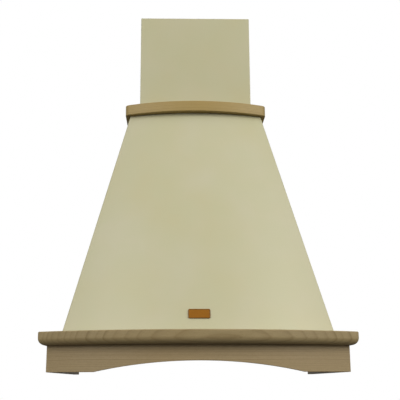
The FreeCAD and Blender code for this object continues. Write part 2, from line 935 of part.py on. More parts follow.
def make_back_plate():
    plate = new_body("back_plate")
    half = s.plate_width / 2
    pad(plate, "XZ", -s.plate_sheet, 0, rounded(-half, half, tray_floor, s.plate_top, s.plate_corner))
    centres = [(x, s.hang_height + z) for x in (-fixing_x, fixing_x) for z in (-fixing_z, fixing_z)]
    drill(plate, "XZ", -s.plate_sheet, 0, centres, s.fixing_radius)
    drill(plate, "XZ", -s.plate_sheet, 0, plate_screw_centres + strut_foot_centres() + box_screw_centres())


def make_filter(side, word):
    near, far, front, rear = filter_lines()
    x0 = near + s.filter_side_gap
    x1 = far - s.filter_side_gap
    y0 = front + s.filter_side_gap
    y1 = rear - s.filter_hinge_gap
    top = tray_floor + s.filter_thick
    border = s.filter_border
    front_border = s.filter_front_border
    middle = (x0 + x1) / 2

    frame = new_body("filter_frame_" + word)
    pad(frame, "XY", tray_floor, top, mirrored(rectangle(x0, x1, y0, y1), side))
    hollow = rectangle(x0 + s.filter_lip, x1 - s.filter_lip, y0 + front_border, y1 - s.filter_lip)
    mesh_low = tray_floor + (s.filter_thick - s.mesh_thick) / 2
    cut(frame, "XY", mesh_low, mesh_low + s.mesh_thick, mirrored(hollow, side))
    window = rectangle(x0 + border, x1 - border, y0 + front_border + border / 2, y1 - border)
    for low, high in ((tray_floor, mesh_low), (mesh_low + s.mesh_thick, top)):
        cut(frame, "XY", low, high, mirrored(window, side))
    rest = tray_floor + s.sheet + s.gap
    for x in (x0 + s.tongue_inset, x1 - s.tongue_inset - s.tongue_width):
        tongue = rectangle(x, x + s.tongue_width, y1 - s.filter_lip, rear + s.tongue_reach)
        pad(frame, "XY", rest, rest + s.tongue_thick, mirrored(tongue, side))
    notch_half = s.latch_width / 2 + s.gap
    notch_end = y0 + s.latch_length + s.latch_travel + s.gap
    notch = rectangle(middle - notch_half, middle + notch_half, y0, notch_end)
    cut(frame, "XY", tray_floor + s.sheet, top, mirrored(notch, side))
    tab_half = s.tab_width / 2
    tab_y = y0 + s.latch_length / 2
    slot = rectangle(
        middle - tab_half - s.gap, middle + tab_half + s.gap,
        tab_y - s.tab_thick / 2 - s.gap, tab_y + s.tab_thick / 2 + s.latch_travel + s.gap,
    )
    cut(frame, "XY", tray_floor, tray_floor + s.sheet, mirrored(slot, side))

    mesh = new_body("filter_mesh_" + word)
    edge = s.filter_lip + s.mesh_slack
    block = rectangle(x0 + edge, x1 - edge, y0 + front_border + s.mesh_slack, y1 - edge)
    pad(mesh, "XY", mesh_low, mesh_low + s.mesh_thick, mirrored(block, side))

    latch = new_body("filter_latch_" + word)
    half = s.latch_width / 2
    bolt_end = y0 - s.filter_side_gap - s.latch_engage
    bolt = rectangle(middle - half, middle + half, bolt_end, y0 + s.latch_length)
    pad(latch, "XY", rest, rest + s.latch_thick, mirrored(bolt, side))
    tab = rectangle(middle - tab_half, middle + tab_half, tab_y - s.tab_thick / 2, tab_y + s.tab_thick / 2)
    pad(latch, "XY", tray_floor - s.tab_drop, rest, mirrored(tab, side))


def make_lamp(side, word):
    x = side * s.lamp_x
    y = -s.lamp_y
    top = tray_floor + s.lamp_height
    housing = new_body("lamp_housing_" + word)
    pad(housing, "XY", tray_floor, top, Hole(x, y, s.lamp_radius))
    cut(housing, "XY", tray_floor, top - s.lamp_wall, Hole(x, y, s.lamp_radius - s.lamp_wall))
    round_edges(housing, s.lamp_wall * 2, lambda edge: ends_at(edge, 2, top.value))

    bezel = new_body("lamp_bezel_" + word)
    low = tray_floor - s.bezel_thick
    seat_top = tray_floor + s.lens_seat + s.lens_thick
    pad(bezel, "XY", low, tray_floor, Hole(x, y, s.bezel_radius))
    pad(bezel, "XY", tray_floor, seat_top, Hole(x, y, s.lamp_radius - s.lamp_wall))
    cut(bezel, "XY", low, tray_floor, Hole(x, y, s.lens_radius - s.lens_seat))
    cut(bezel, "XY", tray_floor, seat_top, Hole(x, y, s.lens_radius))
    across = s.lens_radius.value * 2
    round_edges(
        bezel,
        s.bezel_thick / 2,
        lambda edge: ends_at(edge, 2, low.value) and edge.BoundBox.XLength > across,
    )

    lens = new_body("lamp_lens_" + word)
    pad(lens, "XY", tray_floor, tray_floor + s.lens_thick, Hole(x, y, s.lens_radius))

    bulb = new_body("lamp_bulb_" + word)
    bulb_low = top - s.lamp_wall - s.bulb_height
    pad(bulb, "XY", bulb_low, top - s.lamp_wall, Hole(x, y, s.bulb_radius))
    round_edges(bulb, s.bulb_radius / 2, lambda edge: ends_at(edge, 2, bulb_low.value))


def button_x(index):
    return s.button_pitch * (index - (s.button_count - 1) / 2)


def make_controls():
    y = -s.fascia_y
    low = tray_floor - s.fascia_thick
    fascia = new_body("control_fascia")
    half = s.fascia_width / 2
    deep = s.fascia_depth / 2
    pad(fascia, "XY", low, tray_floor, rounded(-half, half, y - deep, y + deep, s.fascia_round))
    wide = s.button_width / 2 + s.gap
    long = s.button_depth / 2 + s.gap
    slots = []
    for index in range(int(s.button_count.value)):
        x = button_x(index)
        slots.append(rectangle(x - wide, x + wide, y - long, y + long))
    cut(fascia, "XY", low, tray_floor, *slots)

    box = new_body("control_box")
    box_half = s.control_width / 2 - s.gap
    box_deep = s.control_depth / 2 - s.gap
    top = tray_floor + s.control_height
    wall = s.control_wall
    pad(box, "XY", tray_floor, top, rectangle(-box_half, box_half, y - box_deep, y + box_deep))
    cut(
        box, "XY", tray_floor, top - wall,
        rectangle(-box_half + wall, box_half - wall, y - box_deep + wall, y + box_deep - wall),
    )

    for index, name in enumerate(("off", "speed_one", "speed_two", "speed_three", "light")):
        make_button("button_" + name, button_x(index), y, low)


def make_button(name, x, y, fascia_low):
    button = new_body(name)
    wide = s.button_width / 2
    long = s.button_depth / 2
    flange = tray_floor + s.gap
    flange_top = flange + s.button_flange_thick
    low = fascia_low - s.button_proud - s.button_travel
    pad(button, "XY", low, flange_top + s.button_tail, rectangle(x - wide, x + wide, y - long, y + long))
    wide = wide + s.button_flange
    long = long + s.button_flange
    pad(button, "XY", flange, flange_top, rectangle(x - wide, x + wide, y - long, y + long))
    round_edges(button, s.button_round, lambda edge: ends_at(edge, 2, low.value))


# ---------------------------------------------------------------- blower


def scroll_line(top, wall=None):
    """The scroll seen along X: three growing quarter turns and the outlet, drawn in by a wall."""
    y = -s.blower_y
    z = s.blower_level
    inset = as_size(0) if wall is None else wall
    step = s.scroll_growth
    small = s.scroll_radius - inset
    middle = small + step
    large = middle + step
    tongue = z - step + small
    outlet = y - step + inset
    corners = [
        (y - step, tongue, small),
        (y - step - small, z - step, middle),
        (y, z - step - middle, large),
        (y + large, z),
        (y + large, top),
        (outlet, top),
    ]
    if wall is not None:
        corners.append((outlet, tongue))
    return points(*corners)


def make_scroll(side, word):
    half = new_body("scroll_" + word)
    low, high = ((-scroll_half, as_size(0)) if side < 0 else (as_size(0), scroll_half))
    pad(half, "YZ", low, high, scroll_line(outlet_level))
    wall = s.scroll_wall
    inner = (low + wall, high) if side < 0 else (low, high - wall)
    cut(half, "YZ", inner[0], inner[1], scroll_line(outlet_level, wall))
    cheek = (low, low + wall) if side < 0 else (high - wall, high)
    cut(half, "YZ", cheek[0], cheek[1], Hole(-s.blower_y, s.blower_level, s.inlet_radius))
    centres = spider_screw_centres() if side < 0 else []
    drill(half, "YZ", cheek[0], cheek[1], centres + strut_joint_centres())


def spider_arms():
    """Directions, in Y and Z, of the three arms of the motor's spider."""
    turns = [math.radians(turn) for turn in (90, 210, 330)]
    return [(round(math.cos(turn), 6), round(math.sin(turn), 6)) for turn in turns]


def spider_screw_centres():
    """Three screws round the inlet, one at the end of each arm."""
    return [(s.spider_screw * y - s.blower_y, s.spider_screw * z + s.blower_level) for y, z in spider_arms()]


def wheel_body(name):
    """A piece of the impeller, drawn about the wheel's own axis and then carried to the blower."""
    body = new_body(name)
    bind(body, "Placement.Base.y", -s.blower_y)
    bind(body, "Placement.Base.z", s.blower_level - s.hang_height)
    return body


def make_impeller():
    """A hub disc, forward-leaning blades on both its sides, and a ring round the blades' free ends."""
    half = s.impeller_width / 2
    ring = half - s.ring_thick
    disc = s.hub_thick / 2
    outer = s.impeller_radius
    inner = outer - s.blade_chord

    hub = wheel_body("impeller_hub")
    pad(hub, "YZ", -disc, disc, Hole(0, 0, outer))
    pad(hub, "YZ", disc, disc + s.hub_boss_length, Hole(0, 0, s.hub_boss_radius))
    cut(hub, "YZ", -disc, disc + s.hub_boss_length, Hole(0, 0, s.shaft_radius))

    rings = wheel_body("impeller_rings")
    for low, high in ((-half, -ring), (ring, half)):
        pad(rings, "YZ", low, high, Hole(0, 0, outer), Hole(0, 0, inner))

    blades = wheel_body("impeller_blades")
    thick = s.blade_thick / 2
    root_y = inner + s.blade_thick
    tip_y = outer - s.ring_thick
    blade_line = points(
        (root_y, -thick), (tip_y, s.blade_lean - thick), (tip_y, s.blade_lean + thick), (root_y, thick)
    )
    pair = [pad(blades, "YZ", low, high, blade_line) for low, high in ((-ring, -disc), (disc, ring))]
    turned = blades.newObject("PartDesign::PolarPattern", "impeller_blades_turned")
    turned.Originals = pair
    turned.Axis = (next(f for f in blades.Origin.OriginFeatures if f.Role == "X_Axis"), [""])
    bind(turned, "Occurrences", s.blade_count)
    blades.Tip = turned


def make_motor():
    y, z = -s.blower_y, s.blower_level
    motor = new_body("motor")
    end = -scroll_half + s.motor_length
    bore = s.shaft_radius + s.shaft_slack
    pad(motor, "YZ", -scroll_half, end, Hole(y, z, s.motor_radius))
    round_edges(motor, s.motor_round, lambda edge: ends_at(edge, 0, end.value))
    pad(motor, "YZ", end, end + s.bearing_length, Hole(y, z, s.bearing_radius))
    cut(motor, "YZ", -scroll_half, end + s.bearing_length, Hole(y, z, bore))

    shaft = new_body("motor_shaft")
    tip = s.hub_thick / 2 + s.hub_boss_length
    pad(shaft, "YZ", -scroll_half + s.bearing_length, tip, Hole(y, z, s.shaft_radius))

    spider = new_body("motor_spider")
    back = -scroll_half - s.spider_sheet
    pad(spider, "YZ", back, -scroll_half, Hole(y, z, s.spider_hub))
    half = s.spider_arm / 2
    start = s.spider_hub - half
    for along_y, along_z in spider_arms():
        corners = []
        for reach, across in ((start, -half), (s.spider_reach, -half), (s.spider_reach, half), (start, half)):
            corners.append((y + reach * along_y - across * along_z, z + reach * along_z + across * along_y))
        pad(spider, "YZ", back, -scroll_half, points(*corners))
    drill(spider, "YZ", back, -scroll_half, spider_screw_centres())
    screws("motor_screws", "YZ", back, 1, spider_screw_centres(), s.sheet_screw_length)


def make_spigot():
    spigot = new_body("outlet_spigot")
    y = duct_y
    low = outlet_level
    front = -s.blower_y - s.scroll_growth - s.rim_width
    rear = -s.blower_y + s.scroll_radius + 2 * s.scroll_growth
    pad(spigot, "XY", low, spigot_level, rectangle(-scroll_half, scroll_half, front, rear))
    pad(spigot, "XY", spigot_level, spigot_level + s.spigot_height, Hole(0, y, s.spigot_radius))
    inner = s.spigot_radius - s.spigot_wall
    ledge_low = spigot_level + s.flap_level - s.knuckle_radius - s.ledge_thick
    cut(spigot, "XY", low, spigot_level + s.spigot_height, Hole(0, y, inner - s.ledge_width))
    cut(spigot, "XY", low, ledge_low, Hole(0, y, inner))
    cut(spigot, "XY", ledge_low + s.ledge_thick, spigot_level + s.spigot_height, Hole(0, y, inner))
    pin_z = spigot_level + s.flap_level
    drill(spigot, "YZ", -s.spigot_radius, s.spigot_radius, [(y, pin_z)], s.pin_radius)

    pin = new_body("flap_pin")
    pin_half = s.spigot_radius - s.gap
    pad(pin, "YZ", -pin_half, pin_half, Hole(y, pin_z, s.pin_radius))

    radius = inner - s.flap_gap
    blade_low = pin_z - s.flap_thick / 2
    for sign, word in ((-1, "front"), (1, "rear")):
        make_flap(sign, word, y, pin_z, radius, blade_low)


def make_flap(sign, word, y, pin_z, radius, blade_low):
    flap = new_body("flap_" + word)
    start = s.knuckle_radius + s.gap
    reach = root(radius * radius - start * start)
    edge = y + sign * start
    half_disc = points((-reach, edge, -sign * radius), (reach, edge))
    pad(flap, "XY", blade_low, blade_low + s.flap_thick, half_disc)
    clear = s.pin_radius + s.pin_slack
    length = s.knuckle_length
    first = -length * 2 if sign < 0 else -length
    for shift in (0, 2):
        low = first + length * shift + s.gap / 2
        high = first + length * (shift + 1) - s.gap / 2
        pad(flap, "YZ", low, high, Hole(y, pin_z, s.knuckle_radius))
        low_y, high_y = ordered(y, edge + sign * s.gap)
        pad(flap, "YZ", low, high, rectangle(low_y, high_y, blade_low, blade_low + s.flap_thick))
        cut(flap, "YZ", low, high, Hole(y, pin_z, clear))


def strut_foot_centres():
    """Two screws through the back plate into the foot of each strut."""
    levels = [s.blower_level + sign * s.strut_foot_spacing / 2 for sign in (-1, 1)]
    return [(side * s.strut_spread, level) for side in (-1, 1) for level in levels]


def strut_joint_centres():
    """Where a strut's cheek is screwed to the side of the scroll, in Y and Z."""
    return [(-s.strut_joint, s.blower_level + sign * s.strut_joint_spacing / 2) for sign in (-1, 1)]


def box_screw_centres():
    x = s.box_x + s.box_width / 2
    middle = s.box_bottom + s.box_height / 2
    return [(x, middle + sign * s.box_screw_spacing / 2) for sign in (-1, 1)]


def make_struts():
    """Folded angles: one leg on the back plate, the other along the side of the scroll."""
    struts = new_body("blower_struts")
    for side in (-1, 1):
        inner = scroll_half
        outer = scroll_half + s.strut_sheet
        low, high = ordered(side * inner, side * outer)
        z0 = s.blower_level - s.strut_height / 2
        z1 = s.blower_level + s.strut_height / 2
        front = -s.strut_joint - s.strut_width / 2
        back = -s.plate_sheet
        pad(struts, "YZ", low, high, rectangle(front, back, z0, z1))
        foot_low, foot_high = ordered(side * (inner - s.strut_width), side * outer)
        pad(struts, "XZ", back - s.strut_sheet, back, rectangle(foot_low, foot_high, z0, z1))
    drill(struts, "XZ", -s.plate_sheet - s.strut_sheet, -s.plate_sheet, strut_foot_centres())
    drill(struts, "YZ", -scroll_half - s.strut_sheet, scroll_half + s.strut_sheet, strut_joint_centres())


def make_electronics():
    box = new_body("electronics_box")
    x0 = s.box_x
    x1 = s.box_x + s.box_width
    z0 = s.box_bottom
    z1 = s.box_bottom + s.box_height
    back = -s.plate_sheet
    front = back - s.box_depth
    wall = s.box_wall
    pad(box, "XZ", front, back, rectangle(x0, x1, z0, z1))
    cut(box, "XZ", front, back - wall, rectangle(x0 + wall, x1 - wall, z0 + wall, z1 - wall))
    drill(box, "XZ", back - wall, back, box_screw_centres())
    gland_x = x0 + s.box_width / 4
    gland_y = front + s.box_depth / 2
    drill(box, "XY", z1 - wall, z1, [(gland_x, gland_y)], s.gland_neck)

    lid = new_body("electronics_lid")
    pad(lid, "XZ", front - s.lid_thick, front, rectangle(x0, x1, z0, z1))
    lip = wall + s.gap
    inner = lip + wall
    pad(lid, "XZ", front, front + wall * 2, rectangle(x0 + lip, x1 - lip, z0 + lip, z1 - lip))
    cut(lid, "XZ", front, front + wall * 2, rectangle(x0 + inner, x1 - inner, z0 + inner, z1 - inner))

    gland = new_body("cable_gland")
    pad(gland, "XY", z1, z1 + s.gland_length, Hole(gland_x, gland_y, s.gland_radius))
    pad(gland, "XY", z1 - wall - s.gland_flange, z1, Hole(gland_x, gland_y, s.gland_neck))
    pad(gland, "XY", z1 - wall - s.gland_flange, z1 - wall, Hole(gland_x, gland_y, s.gland_radius))
    cut(gland, "XY", z1 - wall - s.gland_flange, z1 + s.gland_length, Hole(gland_x, gland_y, s.gland_bore))


def make_screws():
    screws("tray_screws", "XY", deck + s.sheet, -1, tray_screw_centres, s.wood_screw_length)
    screws("collar_screws", "XY", canopy_top - s.sheet, 1, collar_screw_centres(), s.wood_screw_length)
    chassis = new_body("chassis_screws")
    for centres, sheet in (
        (plate_screw_centres, s.sheet),
        (strut_foot_centres(), s.strut_sheet),
        (box_screw_centres(), s.box_wall),
    ):
        add_screws(chassis, "XZ", -s.plate_sheet - sheet, 1, centres, s.plate_sheet + sheet)
    blower = new_body("blower_screws")
    for side in (-1, 1):
        face = side * (scroll_half + s.strut_sheet)
        add_screws(blower, "YZ", face, -side, strut_joint_centres(), s.sheet_screw_length)


# ---------------------------------------------------------------- the whole hood


make_rail()
make_apron()
make_corner_blocks()
make_canopy()
make_collar()
make_chimney()
make_chimney_bracket()
make_badge()
make_tray()
make_back_plate()
for hand, hand_word in ((-1, "left"), (1, "right")):
    make_filter(hand, hand_word)
    make_lamp(hand, hand_word)
    make_scroll(hand, hand_word)
make_controls()
make_impeller()
make_motor()
make_spigot()
make_struts()
make_electronics()
make_screws()

doc.recompute()
for item in doc.Objects:
    if {"Invalid", "Error"} & set(item.State):
        raise RuntimeError(f"{item.Label} failed: {item.State}")
for sub_part in SUB_PARTS:
    if sub_part.Shape.isNull() or not sub_part.Shape.isValid() or not sub_part.Shape.Solids:
        raise RuntimeError(f"{sub_part.Label} has no valid solid")

os.makedirs("parts", exist_ok=True)
for sub_part in SUB_PARTS:
    sub_part.Shape.exportStep(f"parts/{sub_part.Label}.step")
    print(sub_part.Label, len(sub_part.Shape.Solids), round(sub_part.Shape.Volume, 1))
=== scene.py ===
import json
import math

import bmesh
import bpy
from mathutils import Matrix, Vector


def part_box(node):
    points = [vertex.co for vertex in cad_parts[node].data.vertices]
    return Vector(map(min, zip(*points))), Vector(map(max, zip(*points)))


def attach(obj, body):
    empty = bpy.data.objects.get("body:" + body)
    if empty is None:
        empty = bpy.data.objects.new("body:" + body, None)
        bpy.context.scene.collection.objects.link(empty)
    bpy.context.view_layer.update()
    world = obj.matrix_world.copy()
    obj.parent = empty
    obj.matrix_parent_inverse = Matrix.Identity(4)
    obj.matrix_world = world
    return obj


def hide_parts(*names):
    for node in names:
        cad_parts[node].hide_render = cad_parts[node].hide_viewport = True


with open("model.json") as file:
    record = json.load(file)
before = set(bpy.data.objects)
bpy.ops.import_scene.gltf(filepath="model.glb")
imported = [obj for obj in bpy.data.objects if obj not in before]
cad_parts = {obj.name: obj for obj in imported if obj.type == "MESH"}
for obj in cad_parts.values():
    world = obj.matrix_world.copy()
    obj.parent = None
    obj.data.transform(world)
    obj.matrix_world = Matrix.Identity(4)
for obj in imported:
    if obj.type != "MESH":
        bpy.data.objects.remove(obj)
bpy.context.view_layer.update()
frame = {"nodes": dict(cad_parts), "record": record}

# A 600 mm dome cooker hood, hung on a wall that isn't shown: painted steel canopy and chimney, beech
# rail, apron and collar. Metres, +X right, +Y into the wall, +Z up, as in the frame.

MM = 0.001
PER_METRE = 1000.0
NODES = frame["nodes"]
BODY_OF = {node: body for body, nodes in frame["record"]["behaviour"]["bodies"].items() for node in nodes}
SIDES = ("left", "right")

# The photograph's viewpoint, found by fitting the hood's own edges to it.
CAMERA_PLACE = Vector((-0.0448, -1.8904, -0.3489))
CAMERA_YAW = 0.020
CAMERA_PITCH = 0.232
CAMERA_ROLL = -0.002
FRAME_PIXELS = 400
FOCAL_PIXELS = 772.7
AXIS_PIXEL = 190.4
SENSOR = 36.0

FLOOR_LEVEL = -3.2
FLOOR_HALF = 6.0


# ---------------------------------------------------------------- shader building


def add(tree, kind, inputs=None, **settings):
    """Adds a node. An input's value is a number, a colour or another node's output socket."""
    node = tree.nodes.new(kind)
    for name, value in settings.items():
        setattr(node, name, value)
    for name, value in (inputs or {}).items():
        socket = node.inputs[name]
        if isinstance(value, bpy.types.NodeSocket):
            tree.links.new(value, socket)
        else:
            socket.default_value = value
    return node


def calc(tree, operation, first, second=0.0, third=0.0):
    node = add(tree, "ShaderNodeMath", {0: first, 1: second}, operation=operation)
    if operation == "MULTIPLY_ADD":
        if isinstance(third, bpy.types.NodeSocket):
            tree.links.new(third, node.inputs[2])
        else:
            node.inputs[2].default_value = third
    return node.outputs[0]


def scaled(tree, vector, factors):
    return add(tree, "ShaderNodeVectorMath", {0: vector, 1: factors}, operation="MULTIPLY").outputs[0]


def noise(tree, vector, scale=1.0, detail=2.0):
    return add(tree, "ShaderNodeTexNoise", {"Vector": vector, "Scale": scale, "Detail": detail}).outputs[0]


def noise_along(tree, value, scale):
    """Smooth noise along a single number."""
    inputs = {"W": value, "Scale": scale, "Detail": 0.0}
    return add(tree, "ShaderNodeTexNoise", inputs, noise_dimensions="1D").outputs[0]


def ramp(tree, value, stops):
    """A grey ramp through (position, brightness) stops."""
    node = add(tree, "ShaderNodeValToRGB", {0: value})
    band = node.color_ramp
    while len(band.elements) < len(stops):
        band.elements.new(1.0)
    for element, (place, grey) in zip(band.elements, stops):
        element.position = place
        element.color = (grey, grey, grey, 1.0)
    return node.outputs[0]


def mixed(tree, factor, first, second):
    node = add(tree, "ShaderNodeMix", data_type="RGBA", clamp_factor=True)
    for index, value in ((0, factor), (6, first), (7, second)):
        socket = node.inputs[index]
        if isinstance(value, bpy.types.NodeSocket):
            tree.links.new(value, socket)
        else:
            socket.default_value = value if index == 0 else (*value[:3], 1.0)
    return node.outputs[2]


def new_group(name, inputs, outputs):
    """A shader node group with named float, vector or colour sockets."""
    tree = bpy.data.node_groups.new(name, "ShaderNodeTree")
    kinds = {float: "NodeSocketFloat", tuple: "NodeSocketVector"}
    for label, value in inputs.items():
        kind = "NodeSocketVector" if value is None else kinds[type(value)]
        socket = tree.interface.new_socket(label, in_out="INPUT", socket_type=kind)
        if value is not None:
            socket.default_value = value
    for label in outputs:
        tree.interface.new_socket(label, in_out="OUTPUT", socket_type="NodeSocketFloat")
    start = tree.nodes.new("NodeGroupInput")
    end = tree.nodes.new("NodeGroupOutput")
    return tree, start.outputs, end.inputs


# How dark the wood is from one growth ring's start to the next, and how fine its pores and ray flecks
# are, in repeats to a metre.
RING_TONES = [(0.0, 0.15), (0.10, 0.0), (0.50, 0.12), (0.72, 0.55), (0.88, 1.0), (1.0, 0.15)]
PORES_ACROSS = 420.0
FLECKS = (260.0, 1500.0, 1500.0)
FLECK_TONES = [(0.0, 0.0), (0.58, 0.0), (0.70, 1.0)]
RING_DRIFT = (2.5, 9.0, 9.0)
UNEVEN_SPREAD = 0.37
UNEVEN_SHIFT = 1.1
STRENGTH_SPREAD = 0.9
STRENGTH_RANGE = 1.1
STRENGTH_LEAST = 0.15


def beech_figure():
    """Growth rings about a pith that runs along X, with pore streaks and ray flecks."""
    inputs = {"Vector": None, "Ring": 5.5, "Pith Y": 0.0, "Pith Z": 0.0, "Wobble": 2.0, "Streak": 22.0}
    tree, given, out = new_group("beech_figure", inputs, ["Rings", "Streaks", "Flecks"])
    metres = given["Vector"]
    slow = noise(tree, scaled(tree, metres, RING_DRIFT))
    place = add(tree, "ShaderNodeSeparateXYZ", {0: scaled(tree, metres, (PER_METRE,) * 3)}).outputs
    across = calc(tree, "SUBTRACT", place[1], given["Pith Y"])
    up = calc(tree, "SUBTRACT", place[2], given["Pith Z"])
    squares = calc(tree, "ADD", calc(tree, "MULTIPLY", across, across), calc(tree, "MULTIPLY", up, up))
    shake = calc(tree, "MULTIPLY", calc(tree, "SUBTRACT", slow, 0.5), given["Wobble"])
    radius = calc(tree, "ADD", calc(tree, "SQRT", squares), shake)
    turns = calc(tree, "DIVIDE", radius, given["Ring"])
    uneven = noise_along(tree, turns, UNEVEN_SPREAD)
    band = calc(tree, "FRACT", calc(tree, "MULTIPLY_ADD", uneven, UNEVEN_SHIFT, turns))
    varied = noise_along(tree, turns, STRENGTH_SPREAD)
    strength = calc(tree, "MULTIPLY_ADD", varied, STRENGTH_RANGE, STRENGTH_LEAST)
    shown = calc(tree, "MULTIPLY", ramp(tree, band, RING_TONES), strength)
    tree.links.new(shown, out["Rings"])
    pores = {0: given["Streak"], 1: PORES_ACROSS, 2: PORES_ACROSS}
    fine = add(tree, "ShaderNodeCombineXYZ", pores).outputs[0]
    lift = add(tree, "ShaderNodeCombineXYZ", {1: shake, 2: shake}).outputs[0]
    waved = add(tree, "ShaderNodeVectorMath", {0: scaled(tree, metres, fine), 1: lift}, operation="ADD")
    tree.links.new(noise(tree, waved.outputs[0], detail=3.0), out["Streaks"])
    fleck = noise(tree, scaled(tree, metres, FLECKS), detail=1.0)
    tree.links.new(ramp(tree, fleck, FLECK_TONES), out["Flecks"])
    return tree


def paint_film():
    """Sprayed paint: slow drift of tone, and a fine orange peel for the bump."""
    inputs = {"Vector": None, "Peel": 900.0, "Drift": 5.0}
    tree, given, out = new_group("paint_film", inputs, ["Drift", "Peel"])
    tree.links.new(noise(tree, given["Vector"], given["Drift"]), out["Drift"])
    tree.links.new(noise(tree, given["Vector"], given["Peel"], detail=1.0), out["Peel"])
    return tree


def brushed_lines():
    """Long fine scratches, for rolled and brushed sheet; Lay gives how fine they are on each axis."""
    inputs = {"Vector": None, "Lay": (20.0, 1800.0, 1800.0)}
    tree, given, out = new_group("brushed_lines", inputs, ["Lines", "Cloud"])
    laid = scaled(tree, given["Vector"], given["Lay"])
    tree.links.new(noise(tree, laid, detail=3.0), out["Lines"])
    tree.links.new(noise(tree, given["Vector"], 14.0, 3.0), out["Cloud"])
    return tree


def settled_dust():
    """Where dust and grease would lie: on upward faces, in patches."""
    tree, given, out = new_group("settled_dust", {"Vector": None, "Amount": 0.4}, ["Dust"])
    normal = tree.nodes.new("ShaderNodeNewGeometry").outputs["Normal"]
    facing = add(tree, "ShaderNodeSeparateXYZ", {0: normal})
    upward = ramp(tree, facing.outputs[2], [(0.0, 0.0), (0.45, 0.0), (0.95, 1.0)])
    patch = noise(tree, given["Vector"], 55.0, 5.0)
    patches = ramp(tree, patch, [(0.0, 0.2), (0.40, 0.35), (0.68, 1.0)])
    amount = calc(tree, "MULTIPLY", calc(tree, "MULTIPLY", upward, patches), given["Amount"])
    tree.links.new(amount, out["Dust"])
    return tree


GROUPS = {
    "beech": beech_figure(),
    "paint": paint_film(),
    "brushed": brushed_lines(),
    "dust": settled_dust(),
}
DUST_COLOUR = (0.36, 0.33, 0.27)


def new_material(name, **fixed):
    """A material with one Principled shader, its fixed sockets set, and its Object coordinates."""
    material = bpy.data.materials.new(name)
    material.use_nodes = True
    tree = material.node_tree
    shader = next(node for node in tree.nodes if node.type == "BSDF_PRINCIPLED")
    for label, value in fixed.items():
        shader.inputs[label.replace("_", " ").title().replace("Ior", "IOR")].default_value = value
    where = tree.nodes.new("ShaderNodeTexCoord").outputs["Object"]
    return material, tree, shader, where


def use(tree, group, **inputs):
    node = add(tree, "ShaderNodeGroup", node_tree=GROUPS[group])
    for label, value in inputs.items():
        socket = node.inputs[label.replace("_", " ")]
        if isinstance(value, bpy.types.NodeSocket):
            tree.links.new(value, socket)
        else:
            socket.default_value = value
    return node.outputs


def bump(tree, shader, height, strength, distance):
    node = add(tree, "ShaderNodeBump", {"Height": height, "Strength": strength, "Distance": distance})
    tree.links.new(node.outputs[0], shader.inputs["Normal"])


def paint(tree, shader, colour):
    tree.links.new(colour, shader.inputs["Base Color"])


def gloss(tree, shader, value, change, least):
    """Roughness that goes up from its least with a noise value."""
    tree.links.new(calc(tree, "MULTIPLY_ADD", value, change, least), shader.inputs["Roughness"])


def shaded(tone, *shares):
    """A tone with its channels multiplied by one share, or by one each."""
    return tuple(part * share for part, share in zip(tone, shares * (3 // len(shares))))


def turned(tree, where, turn):
    """Object coordinates turned about Z: the group lays grain along X, and this lays it along a board."""
    return add(tree, "ShaderNodeMapping", {"Vector": where, "Rotation": (0.0, 0.0, turn)}).outputs[0]


# ---------------------------------------------------------------- finishes


def beech(
    name, turn=0.0, ring=5.5, pith=(0.0, 0.0), wobble=2.0, tone=(0.270, 0.212, 0.107),
    warmth=0.0, contrast=0.75, streak=22.0,
):
    """Matt lacquered beech, a little grey. The pith's place is across the grain and in height, in mm."""
    material, tree, shader, where = new_material(name, specular_ior_level=0.30)
    laid = turned(tree, where, turn) if turn else where
    figure = use(
        tree, "beech", Vector=laid, Ring=ring, Pith_Y=pith[0], Pith_Z=pith[1], Wobble=wobble, Streak=streak
    )
    late = shaded(tone, 0.60, 0.54, 0.46)
    pale = shaded(tone, 1.14, 1.12, 1.14)
    warm = shaded(tone, 0.98, 0.86, 0.66)
    streaks = ramp(tree, figure["Streaks"], [(0.30, 0.0), (0.72, 1.0)])
    ground = mixed(tree, streaks, pale, tone)
    ringed = mixed(tree, calc(tree, "MULTIPLY", figure["Rings"], contrast), ground, late)
    flecked = mixed(tree, calc(tree, "MULTIPLY", figure["Flecks"], 0.45), ringed, late)
    tint = calc(tree, "MULTIPLY_ADD", noise(tree, laid, 6.0), 0.5, warmth)
    paint(tree, shader, mixed(tree, tint, flecked, warm))
    gloss(tree, shader, figure["Streaks"], 0.16, 0.40)
    grain = calc(tree, "ADD", calc(tree, "MULTIPLY", figure["Streaks"], 0.6), figure["Flecks"])
    bump(tree, shader, grain, 0.25, 0.0002)
    return material


def cream_paint():
    """Satin cream paint on steel sheet, with a slow drift between a greener and a greyer cream."""
    material, tree, shader, where = new_material("cream_paint", specular_ior_level=0.42)
    film = use(tree, "paint", Vector=where, Peel=1100.0, Drift=7.0)
    drift = ramp(tree, film["Drift"], [(0.35, 0.0), (0.65, 1.0)])
    patches = ramp(tree, noise(tree, where, 16.0, 3.0), [(0.38, 0.0), (0.62, 1.0)])
    tone = mixed(tree, drift, (0.462, 0.428, 0.254), (0.474, 0.445, 0.292))
    tone = mixed(tree, calc(tree, "MULTIPLY", patches, 0.5), tone, (0.453, 0.436, 0.267))
    dust = use(tree, "dust", Vector=where, Amount=0.25)
    paint(tree, shader, mixed(tree, dust["Dust"], tone, DUST_COLOUR))
    gloss(tree, shader, film["Drift"], 0.12, 0.36)
    bump(tree, shader, film["Peel"], 0.08, 0.0001)
    return material


